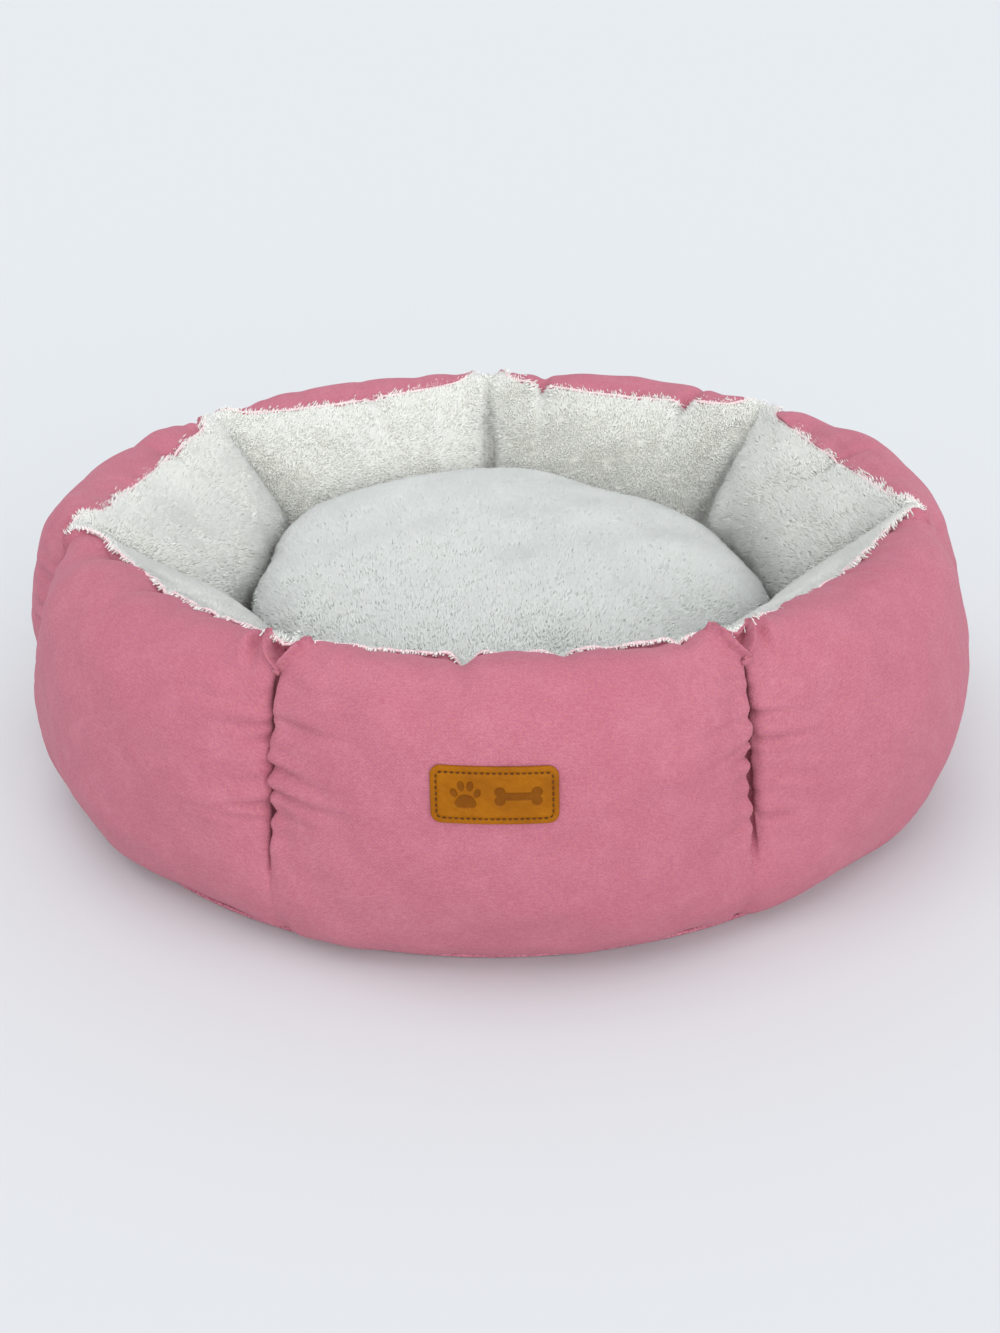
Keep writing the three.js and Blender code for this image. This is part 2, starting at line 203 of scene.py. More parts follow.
class Nodes:
    """A material's node tree, with short ways to add to it."""

    def __init__(self, name, rough=0.9):
        self.material = bpy.data.materials.new(name)
        self.material.use_nodes = True
        self.tree = self.material.node_tree
        self.shader = self.tree.nodes["Principled BSDF"]
        self.shader.inputs["Roughness"].default_value = rough
        self.shader.inputs["Specular IOR Level"].default_value = 0.25

    def add(self, kind, inputs=None, **settings):
        node = self.tree.nodes.new(kind)
        for key, value in settings.items():
            setattr(node, key, value)
        for key, value in (inputs or {}).items():
            if isinstance(value, bpy.types.NodeSocket):
                self.tree.links.new(value, node.inputs[key])
            else:
                node.inputs[key].default_value = value
        return node

    def cloth(self):
        return self.add("ShaderNodeUVMap", uv_map="cloth").outputs["UV"]

    def place(self):
        return self.add("ShaderNodeTexCoord").outputs["Object"]

    def mapped(self, vector, scale):
        return self.add("ShaderNodeMapping", {"Vector": vector, "Scale": scale}).outputs["Vector"]

    def noise(self, vector, scale, detail=3, rough=0.5):
        settings = {"Vector": vector, "Scale": scale, "Detail": detail, "Roughness": rough}
        return self.add("ShaderNodeTexNoise", settings).outputs["Fac"]

    def math(self, operation, a, b=0.0):
        return self.add("ShaderNodeMath", {0: a, 1: b}, operation=operation).outputs[0]

    def spread(self, value, low, high, to_low=0.0, to_high=1.0):
        settings = {"Value": value, "From Min": low, "From Max": high,
                    "To Min": to_low, "To Max": to_high}
        return self.add("ShaderNodeMapRange", settings).outputs["Result"]

    def blend(self, share, first, second):
        node = self.add("ShaderNodeMix", data_type="RGBA")
        for socket, value in ((node.inputs[0], share), (node.inputs[6], first),
                              (node.inputs[7], second)):
            if isinstance(value, bpy.types.NodeSocket):
                self.tree.links.new(value, socket)
            else:
                socket.default_value = value
        return node.outputs[2]

    def colour(self, value):
        self.tree.links.new(value, self.shader.inputs["Base Color"])

    def rough(self, value):
        self.tree.links.new(value, self.shader.inputs["Roughness"])

    def sheen(self, weight, rough):
        self.shader.inputs["Sheen Weight"].default_value = weight
        self.shader.inputs["Sheen Roughness"].default_value = rough

    def bump(self, height, distance, strength=1.0):
        node = self.add("ShaderNodeBump", {"Height": height, "Distance": distance,
                                           "Strength": strength})
        self.tree.links.new(node.outputs["Normal"], self.shader.inputs["Normal"])


def srgb(red, green, blue):
    def linear(v):
        v /= 255
        return v / 12.92 if v <= 0.04045 else ((v + 0.055) / 1.055) ** 2.4
    return (linear(red), linear(green), linear(blue), 1)


def threads(nodes, vector, pitch):
    """Plain weave: two crossing sets of threads. Gives a height from 0 to 1."""
    turn = TAU / pitch
    parts = nodes.add("ShaderNodeSeparateXYZ", {"Vector": vector})
    waves_of = [nodes.math("SINE", nodes.math("MULTIPLY", parts.outputs[k], turn / 2))
                for k in (0, 1)]
    product = nodes.math("MULTIPLY", waves_of[0], waves_of[1])
    return nodes.spread(product, -1, 1)


def cover_material():
    """Dusty pink woven cloth, heathered: paler and darker yarns both ways."""
    n = Nodes("pink_cloth", 0.92)
    uv = n.cloth()
    weave = threads(n, uv, 0.0011)
    warp = n.noise(n.mapped(uv, (1700, 240, 1)), 1, 2)
    weft = n.noise(n.mapped(uv, (240, 1700, 1)), 1, 2)
    slub = n.noise(n.mapped(uv, (260, 900, 1)), 1, 3)
    cloud = n.noise(n.place(), 9, 3)
    yarn = n.math("ADD", n.math("MULTIPLY", warp, 0.5), n.math("MULTIPLY", weft, 0.5))
    base = n.blend(n.spread(yarn, 0.34, 0.66), srgb(170, 95, 110), srgb(189, 117, 131))
    base = n.blend(n.spread(slub, 0.45, 0.75, 0, 0.3), base, srgb(204, 140, 154))
    base = n.blend(n.spread(weave, 0.0, 1.0, 0.16, 0), base, srgb(140, 70, 88))
    base = n.blend(n.spread(cloud, 0.35, 0.65, 0, 0.26), base, srgb(168, 86, 106))
    mottle = n.noise(n.place(), 60, 4, 0.65)
    base = n.blend(n.spread(mottle, 0.5, 0.7, 0, 0.15), base, srgb(206, 138, 152))
    base = n.blend(n.spread(mottle, 0.5, 0.3, 0, 0.15), base, srgb(160, 80, 98))
    fleck = n.noise(n.mapped(uv, (800, 1100, 1)), 1, 1)
    base = n.blend(n.spread(fleck, 0.5, 0.72, 0, 0.4), base, srgb(190, 122, 124))
    base = n.blend(n.spread(fleck, 0.5, 0.3, 0, 0.35), base, srgb(168, 88, 124))
    n.colour(base)
    n.rough(n.spread(yarn, 0.3, 0.7, 0.97, 0.86))
    height = n.math("ADD", n.math("MULTIPLY", weave, 0.6), n.math("MULTIPLY", yarn, 0.8))
    n.bump(height, 0.0004, 0.45)
    n.sheen(0.12, 0.5)
    n.shader.inputs["Sheen Tint"].default_value = srgb(235, 190, 200)
    return n.material


def plush_ground_material(name, light, dark):
    """The plush's knitted backing and the dense roots of its pile. Its light and dark colours are
    painted shade: darker than the pile's fibres, standing in for the shade that falls deep among
    them.
    """
    n = Nodes(name, 1.0)
    place = n.place()
    tuft = n.add("ShaderNodeTexVoronoi", {"Vector": place, "Scale": 260.0}).outputs["Distance"]
    fine = n.noise(place, 700, 3)
    cloud = n.noise(place, 22, 3)
    mixed = n.math("ADD", n.math("MULTIPLY", tuft, 0.7), n.math("MULTIPLY", fine, 0.5))
    base = n.blend(n.spread(mixed, 0.15, 0.8), dark, light)
    base = n.blend(n.spread(cloud, 0.35, 0.65, 0, 0.25), base, dark)
    n.colour(base)
    n.bump(mixed, 0.002, 0.6)
    n.sheen(0.3, 0.6)
    return n.material


def pile_materials(name, *colours):
    """A few close shades, one for each fibre of the pile."""
    found = []
    for number, colour in enumerate(colours):
        n = Nodes(f"{name}_{number + 1}", 0.95)
        n.shader.inputs["Base Color"].default_value = srgb(*colour)
        n.sheen(0.2, 0.6)
        found.append(n.material)
    return found


def thread_material(name, light, dark):
    """Twisted sewing thread."""
    n = Nodes(name, 0.75)
    place = n.place()
    twist = n.noise(n.mapped(place, (900, 900, 900)), 1, 2)
    n.colour(n.blend(n.spread(twist, 0.35, 0.65), dark, light))
    n.bump(twist, 0.0003, 0.6)
    return n.material


def leather_material(name, dark, light):
    """Leather with a fine pebbled grain."""
    n = Nodes(name, 0.55)
    place = n.place()
    pebble = n.add("ShaderNodeTexVoronoi", {"Vector": place, "Scale": 1500.0}).outputs["Distance"]
    fibre = n.noise(place, 420, 4)
    cloud = n.noise(place, 60, 3)
    base = n.blend(n.spread(cloud, 0.3, 0.7), dark, light)
    base = n.blend(n.spread(fibre, 0.42, 0.62, 0, 0.35), base, dark)
    n.colour(base)
    n.rough(n.spread(fibre, 0.3, 0.7, 0.5, 0.68))
    height = n.math("ADD", n.math("MULTIPLY", pebble, 0.8), n.math("MULTIPLY", fibre, 0.6))
    n.bump(height, 0.0003, 0.7)
    n.shader.inputs["Specular IOR Level"].default_value = 0.12
    return n.material


def base_material():
    """Plain grey woven base cloth with small raised grips."""
    n = Nodes("grey_base_cloth", 0.85)
    place = n.place()
    weave = threads(n, place, 0.0012)
    dots = n.add("ShaderNodeTexVoronoi", {"Vector": place, "Scale": 140.0, "Randomness": 0.0})
    grip = n.spread(dots.outputs["Distance"], 0.12, 0.2, 1, 0)
    base = n.blend(weave, srgb(104, 102, 104), srgb(138, 136, 137))
    base = n.blend(grip, base, srgb(84, 82, 84))
    n.colour(base)
    n.rough(n.spread(grip, 0, 1, 0.9, 0.6))
    n.bump(n.math("ADD", weave, grip), 0.0004, 0.6)
    return n.material


def fibre_material():
    n = Nodes("white_fibre", 1.0)
    place = n.place()
    strands = n.noise(n.mapped(place, (300, 80, 180)), 1, 5, 0.7)
    n.colour(n.blend(n.spread(strands, 0.3, 0.7), srgb(222, 222, 218), srgb(246, 246, 244)))
    n.bump(strands, 0.002, 0.8)
    return n.material


PINK = cover_material()
PINK_THREAD = thread_material("pink_thread", srgb(205, 132, 148), srgb(160, 84, 104))
PALE_EDGE = thread_material("pale_seam_edge", srgb(240, 222, 222), srgb(214, 176, 182))
WHITE_THREAD = thread_material("white_thread", srgb(232, 231, 226), srgb(196, 195, 188))
BROWN_THREAD = thread_material("brown_thread", srgb(100, 58, 18), srgb(66, 36, 12))
LEATHER = leather_material("ochre_leather", srgb(137, 78, 0), srgb(156, 94, 0))
PRESSED_LEATHER = leather_material("pressed_leather", srgb(112, 60, 0), srgb(130, 74, 0))
# Painted shade: the plush grounds are coloured darker than their pile's fibres, for the shade deep
# in the pile.
WALL_PLUSH_PAINTED_SHADE = plush_ground_material("wall_plush_painted_shade", srgb(208, 208, 201), srgb(196, 196, 189))
CUSHION_PLUSH_PAINTED_SHADE = plush_ground_material("cushion_plush_painted_shade", srgb(214, 217, 213), srgb(200, 203, 199))
GREY_BASE = base_material()
FIBRE = fibre_material()
WALL_PILE = pile_materials("wall_pile", (254, 254, 251), (251, 251, 246), (247, 247, 241),
                           (244, 244, 238))
CUSHION_PILE = pile_materials("cushion_pile", (241, 243, 240), (238, 240, 237),
                              (235, 237, 234), (231, 234, 230))


# ---------------------------------------------------------------- camera and stage

def aim(thing, place, pitch, roll, turn):
    """Looks along +Y, tipped down by pitch, rolled, and then turned about the bed's axis."""
    forward = Vector((0, math.cos(pitch), -math.sin(pitch)))
    right = Vector((1, 0, 0))
    up = right.cross(forward)
    right, up = (math.cos(roll) * right + math.sin(roll) * up,
                 math.cos(roll) * up - math.sin(roll) * right)
    matrix = Matrix.Identity(4)
    for k, axis in enumerate((right, up, -forward, Vector(place))):
        for row in range(3):
            matrix[row][k] = axis[row]
    thing.matrix_world = Matrix.Rotation(turn, 4, "Z") @ matrix


def soft_sun(name, towards, strength, spread):
    """A wide, even studio light: its brightness doesn't fall off across the floor."""
    light = bpy.data.lights.new(name, "SUN")
    light.energy, light.angle = strength, math.radians(spread)
    thing = bpy.data.objects.new(name, light)
    thing.rotation_euler = Vector(towards).to_track_quat("Z", "Y").to_euler()
    bpy.context.scene.collection.objects.link(thing)


def make_stage():
    """The photo's camera, solved from the rim's corners, the floor and the lights."""
    scene = bpy.context.scene
    camera = bpy.data.cameras.new("camera")
    camera.sensor_width, camera.lens = 36, 40.9
    camera.clip_start, camera.clip_end = 0.01, 50
    thing = bpy.data.objects.new("camera", camera)
    scene.collection.objects.link(thing)
    aim(thing, (0.0005, -0.898, 0.481), math.radians(26.3), math.radians(-0.76),
        math.radians(-1.43))
    scene.camera = thing

    n = Nodes("pale_floor", 0.95)
    n.shader.inputs["Base Color"].default_value = srgb(211, 213, 215)
    n.shader.inputs["Specular IOR Level"].default_value = 0.0
    corners = 40 * np.array([(-1, -1, 0), (1, -1, 0), (1, 1, 0), (-1, 1, 0)], float)
    floor = mesh_object("floor", corners, np.array([[0, 1, 2, 3]]), n.material, smooth=False)

    world = bpy.data.worlds.new("studio")
    scene.world = world
    world.use_nodes = True
    background = world.node_tree.nodes["Background"]
    background.inputs[0].default_value = srgb(240, 244, 248)
    background.inputs[1].default_value = 0.92
    soft_sun("overhead", (-0.15, -0.1, 1), 0.78, 50)
    soft_sun("front", (0.27, -1, 0.27), 2.12, 60)
    scene.view_settings.view_transform = "Standard"


# ---------------------------------------------------------------- the wall's surface

def section_places(spacing):
    """Places along the closed section, evenly spaced along the cloth."""
    dense = np.linspace(0, STEPS, 3000, endpoint=False)
    curve = spline(MID_PANEL, dense)
    steps = np.diff(np.vstack([curve, curve[:1]]), axis=0)
    length = np.r_[0, np.cumsum(np.hypot(steps[:, 0], steps[:, 1]))]
    count = int(round(length[-1] / spacing))
    wanted = np.arange(count) * length[-1] / count
    return np.interp(wanted, length, np.r_[dense, STEPS])


def wall_columns(per_panel):
    """Azimuths of the wall's columns, closer together near the corners, and how far each
    is across its panel, from -1 to 1."""
    s = np.linspace(-1, 1, per_panel, endpoint=False)
    across = np.sign(s) * (1 - (1 - np.abs(s)) ** 1.3)
    angles = [-math.pi / 2 + (2 * panel + a) * HALF for panel in range(PANELS) for a in across]
    return np.array(angles), np.tile(across, PANELS)


def wall_surface(places, angles, across):
    """Points of the wall's surface, measured from the CAD: columns by places."""
    mid, corner = spline(MID_PANEL, places), spline(AT_CORNER, places)
    crease = spline(CREASE, places)[:, 0].clip(0, 1)
    w = np.abs(across)[:, None]
    folded = 1 - np.sqrt(np.maximum(0, 1 - w ** CREASE_POWER))
    share = (1 - crease) * w * w + crease * folded
    section = mid[None] + (corner - mid)[None] * share[..., None]
    return turned(section[..., 0] * WIDE, angles[:, None], section[..., 1] * TALL) * MM


# For each corner, front left first and on round by the right, in steps of the section.
TAB_LENGTHS = [0.6, 0.6, 1.0, 1.35, 1.6, 1.1, 1.1]


def tabs(places, angles, across):
    """At each corner the plush is pulled out over the crown as a small tab: the section
    slides outwards there. Gives each point's place along the section."""
    close = np.exp(-((1 - np.abs(across)) / 0.11) ** 2)[:, None]
    length = np.array(TAB_LENGTHS)[corner_of(angles)][:, None]
    near = hump(places, RIM, 1.3)[None]
    return places[None] + length * close * near


def read_rows(grid, index):
    """Each column of a grid that is closed along its rows, read at its own row numbers."""
    count = grid.shape[1]
    i = np.floor(index).astype(int)
    f = (index - i)[..., None]
    column = np.arange(grid.shape[0])[:, None]
    return catmull(*(grid[column, (i + k) % count] for k in (-1, 0, 1, 2)), f)


def finer_columns(grid, times):
    flat = grid.reshape(grid.shape[0], -1)
    fine = spline(flat, np.arange(grid.shape[0] * times) / times)
    return fine.reshape((-1,) + grid.shape[1:])


def finer_angles(angles, times):
    count = len(angles)
    return np.interp(np.arange(count * times) / times, np.arange(count + 1),
                     np.r_[angles, angles[0] + TAU])


def wavelets(points, seed, count, low, high, flat):
    """Smooth seeded unevenness in space. flat above 1 draws the waves out sideways, so that
    they lie across the wall's height. About -1 to 1."""
    rng = np.random.default_rng(seed)
    total = np.zeros(points.shape[:-1])
    for _ in range(count):
        way = rng.normal(size=3) * (1 / flat, 1 / flat, 1)
        way *= TAU / (rng.uniform(low, high) * np.linalg.norm(way))
        total += np.sin(points @ way + rng.uniform(0, TAU))
    return total / math.sqrt(count / 2) / 1.6


# ---------------------------------------------------------------- cloth simulation

def inflate(points, faces, rest, hold, pressure, mass, bend, frames):
    """Blows a closed cloth skin up with Blender's Cloth and gives back its points. rest is
    the shape the cloth was cut to, and hold is how firmly each point is held, 0 to 1."""
    thing = mesh_object("cloth_run", points, faces)
    thing.shape_key_add(name="Basis")
    key = thing.shape_key_add(name="cut")
    key.data.foreach_set("co", np.asarray(rest, np.float32).ravel())
    key.value = 0
    group = thing.vertex_groups.new(name="held")
    for value in np.unique(hold):
        group.add(np.where(hold == value)[0].tolist(), float(value), "REPLACE")
    cloth = thing.modifiers.new("cloth", "CLOTH")
    settings = cloth.settings
    settings.quality = 4
    settings.mass = mass
    settings.tension_stiffness = settings.compression_stiffness = 12
    settings.shear_stiffness = 5
    settings.bending_stiffness = bend
    settings.use_pressure = True
    settings.uniform_pressure_force = pressure
    settings.vertex_group_mass = "held"
    settings.pin_stiffness = 1
    settings.rest_shape_key = key
    settings.effector_weights.gravity = 0
    cloth.collision_settings.use_collision = False
    cloth.point_cache.frame_end = frames + 1
    scene = bpy.context.scene
    for number in range(1, frames + 1):
        scene.frame_set(number)
    graph = bpy.context.evaluated_depsgraph_get()
    mesh = thing.evaluated_get(graph).to_mesh()
    moved = np.zeros(len(points) * 3, np.float32)
    mesh.vertices.foreach_get("co", moved)
    thing.evaluated_get(graph).to_mesh_clear()
    scene.frame_set(1)
    bpy.data.objects.remove(thing)
    return moved.reshape(-1, 3).astype(float)


def capped(start, end, most):
    """end, with no point further than most from start."""
    move = end - start
    length = np.linalg.norm(move, axis=-1, keepdims=True)
    return start + move * np.minimum(1, most / np.maximum(length, 1e-9))


# Radius (mm) of each section step on the plain ring that the wall's cloth makes before
# its corners are pinched.
CUT_RADIUS = [196, 202, 207, 216, 230, 249, 268, 284, 294, 297, 294, 281, 262, 225, 194]
TACK_HEIGHTS = [138, 127, 116, 105, 94, 83]      # stitches up a corner, mm
SPARE_CLOTH = 1.06               # the strip is this much longer than the wall is high
CLOTH_MASS = 0.02
WALL_PRESSURE, WALL_BEND, WALL_FRAMES = 2.5, 0.03, 16
WALL_HOLD = 0.02                 # how firmly the free cloth keeps to the measured shape
WALL_REACH = 14 * MM             # the furthest that cloth moves from it
BROAD_BLURS = 6


def stitch_rows(points, places, outer):
    """Index along the section of each corner stitch, outside or inside."""
    rows = np.where(places > CROWN + 0.2 if outer else places < RIM - 0.1)[0]
    return [rows[np.argmin(np.abs(points[rows, 2] / MM / TALL - z))] for z in TACK_HEIGHTS]


def inflate_wall(grid, places, angles, per_panel):
    """The wall's skin blown up from the cut of its cloth, held at the corner stitches, the
    rim and the foot."""
    radius = spline(np.array(CUT_RADIUS, float)[:, None], places)[:, 0] * WIDE * MM
    height = spline(MID_PANEL, places)[:, 1] * TALL * MM * SPARE_CLOTH
    rest = turned(radius[None], angles[:, None], height[None])
    hold = np.full(grid.shape[:2], WALL_HOLD)
    hold[grid[..., 2] < 9 * MM] = 1
    hold[:, (places < 0.35) | (places > STEPS - 0.5)] = 1
    rim = int(np.argmin(np.abs(places - RIM)))
    hold[:, rim] = 0.35
    for corner in range(0, PANELS * per_panel, per_panel):
        for outer in (True, False):
            hold[corner, stitch_rows(grid[corner], places, outer)] = 1
        hold[corner, rim] = 1
    faces = grid_faces(grid.shape[0], grid.shape[1], True, True)[:, ::-1]
    moved = inflate(grid.reshape(-1, 3), faces, rest.reshape(-1, 3), hold.ravel(),
                    WALL_PRESSURE, CLOTH_MASS, WALL_BEND, WALL_FRAMES)
    return capped(grid, restored(grid, moved.reshape(grid.shape), per_panel), WALL_REACH)


def restored(grid, moved, per_panel):
    """Keeps the folds that the simulation made, and brings the wall's broad shape back to
    the measured section, which the tight cloth had drawn in."""
    angles = -math.pi / 2 - HALF + np.arange(PANELS) * 2 * HALF
    turns = [np.array(Matrix.Rotation(angle, 3, "Z")) for angle in angles]
    change = (grid - moved).reshape((PANELS, per_panel) + grid.shape[1:])
    total = sum(part @ turn for part, turn in zip(change, turns))
    mean = np.tile(total / PANELS, (3, 1, 1))
    for _ in range(BROAD_BLURS):
        mean = (np.roll(mean, 1, 1) + mean + np.roll(mean, -1, 1)) / 3
        mean = (np.roll(mean, 1, 0) + mean + np.roll(mean, -1, 0)) / 3
    mean = mean[per_panel:2 * per_panel]
    return moved + np.concatenate([mean @ turn.T for turn in turns])


# ---------------------------------------------------------------- plush pile

# Lengths in metres.
WALL_PILE_LENGTH, CUSHION_PILE_LENGTH, FLOOR_PILE_LENGTH = 0.0042, 0.0040, 0.003
TUFT_FIBRES = 14
TUFT_WIDTH = 0.0026
FIBRE_WIDTH = 0.0011
FOOT_DEPTH = 0.0008              # how far the fibres start below their ground
NAP = np.array((0.2, 0.1, -0.5))  # the way all the pile leans
SWIRL, TUFT_LEAN, WILD = 0.24, 0.04, 0.10
TRIM = 0.3


def surface_samples(points, faces, per_square_metre, seed, keep=None):
    """Seeded random places on a mesh of four-sided faces: points and unit normals."""
    rng = np.random.default_rng(seed)
    a, b, c, d = (points[faces[:, k]] for k in range(4))
    cross = np.cross(c - a, d - b)
    size = np.linalg.norm(cross, axis=1) / 2
    if keep is not None:
        size = size * keep
    total = size.sum()
    count = int(total * per_square_metre)
    chosen = np.searchsorted(np.cumsum(size), rng.uniform(0, total, count)).clip(0, len(size) - 1)
    u, v = rng.uniform(size=(2, count, 1))
    a, b, c, d = a[chosen], b[chosen], c[chosen], d[chosen]
    place = a * (1 - u) * (1 - v) + b * u * (1 - v) + c * u * v + d * (1 - u) * v
    return place, unit(cross[chosen])


def pile(name, points, faces, fibres, length, seed, materials, keep=None, comb=None):
    """Plush fibres standing on a mesh: closed three-sided spikes in small soft tufts, which
    lean down and in slow swirls. fibres is for each square metre, and keep a share of it for
    each face. comb gives a direction that each place's tuft leans towards, and where it is
    strong the fibres are trimmed shorter."""
    place, normal = surface_samples(points, faces, fibres / TUFT_FIBRES, seed, keep)
    rng = np.random.default_rng(seed + 1)
    tufts = len(place)
    swirl = np.stack([wavelets(place, 31 + k, 9, 0.03, 0.12, 1) for k in range(3)], -1)
    swirl = swirl * SWIRL + NAP + rng.normal(size=(tufts, 3)) * TUFT_LEAN
    cut = 1.0
    if comb is not None:
        pull = comb(place)
        swirl += pull
        cut = 1 - TRIM * np.linalg.norm(pull, axis=-1, keepdims=True)
    swirl -= (swirl * normal).sum(-1, keepdims=True) * normal
    way = unit(normal + swirl)
    reach = length * cut * rng.uniform(0.94, 1.04, (tufts, 1))
    peak = (place + way * reach)[:, None]
    side = unit(np.cross(normal, (0.33, 0.21, 0.92)))
    other = np.cross(normal, side)
    spread = rng.normal(size=(tufts, TUFT_FIBRES, 2)) * TUFT_WIDTH
    root = place[:, None] + spread[..., :1] * side[:, None] + spread[..., 1:] * other[:, None]
    own = unit(way[:, None] + rng.normal(size=root.shape) * WILD)
    tip = root + own * reach[:, None] * rng.uniform(0.82, 1.06, root.shape[:2] + (1,))
    tip += rng.uniform(0.08, 0.28, (tufts, 1, 1)) * (peak - tip)
    count = tufts * TUFT_FIBRES
    foot = (root - normal[:, None] * FOOT_DEPTH).reshape(-1, 3)
    own, tip = own.reshape(-1, 3), tip.reshape(-1, 3)
    flank = unit(np.cross(own, rng.normal(size=(count, 3))))
    cross = np.cross(own, flank)
    corners = np.empty((count, 4, 3))
    for k in range(3):
        turn = TAU * k / 3
        out = flank * math.cos(turn) + cross * math.sin(turn)
        corners[:, k] = foot + out * FIBRE_WIDTH / 2
    corners[:, 3] = tip
    faces = (np.arange(count)[:, None, None] * 4
             + np.array([[0, 1, 3], [1, 2, 3], [2, 0, 3], [2, 1, 0]])).reshape(-1, 3)
    shade = rng.uniform(0, 1, tufts).repeat(TUFT_FIBRES) * 0.5 + rng.uniform(0, 0.5, count)
    return mesh_object(name, corners.reshape(-1, 3), faces, *materials,
                       slots=np.repeat((shade * len(materials)).astype(int), 4))


# ---------------------------------------------------------------- the wall in detail

# Where the rim is nipped in by its seam: azimuth in degrees, depth and half width in mm.
RIM_NIPS = [(-95.5, 5.0, 4.6), (-84, 3.0, 4.2), (80, 6.5, 4.5), (52, 7.5, 4.5), (112, 2.5, 4),
            (158, 2.8, 4), (12, 3.0, 4), (-38, 2.5, 4), (-142, 2.4, 4), (-70, 2.0, 3)]
# How deep the cloth folds in at each corner, mm: front left, front right, and on round by the
# back to the left. The lists below have the same order.
CORNER_FOLDS = [12, 11, 6, 4.5, 4.5, 6, 9]
# How strongly each corner is ruched, and which way and how far its cloth laps over, mm.
CORNER_RUCHE = [1.3, 1.2, 0.9, 0.8, 0.8, 0.9, 1.1]
CORNER_LAPS = [1.6, -1.6, 0.8, -0.7, 0.7, -0.9, 1.0]
# The nest's left side is stuffed harder: its wall leans in and the cushion is narrower, mm.
LEFT_PLUMP = 15


def left_side(angles):
    """1 at the left of the nest, fading to 0 round it."""
    return hump(wrap(angles - math.pi), 0, 0.75)


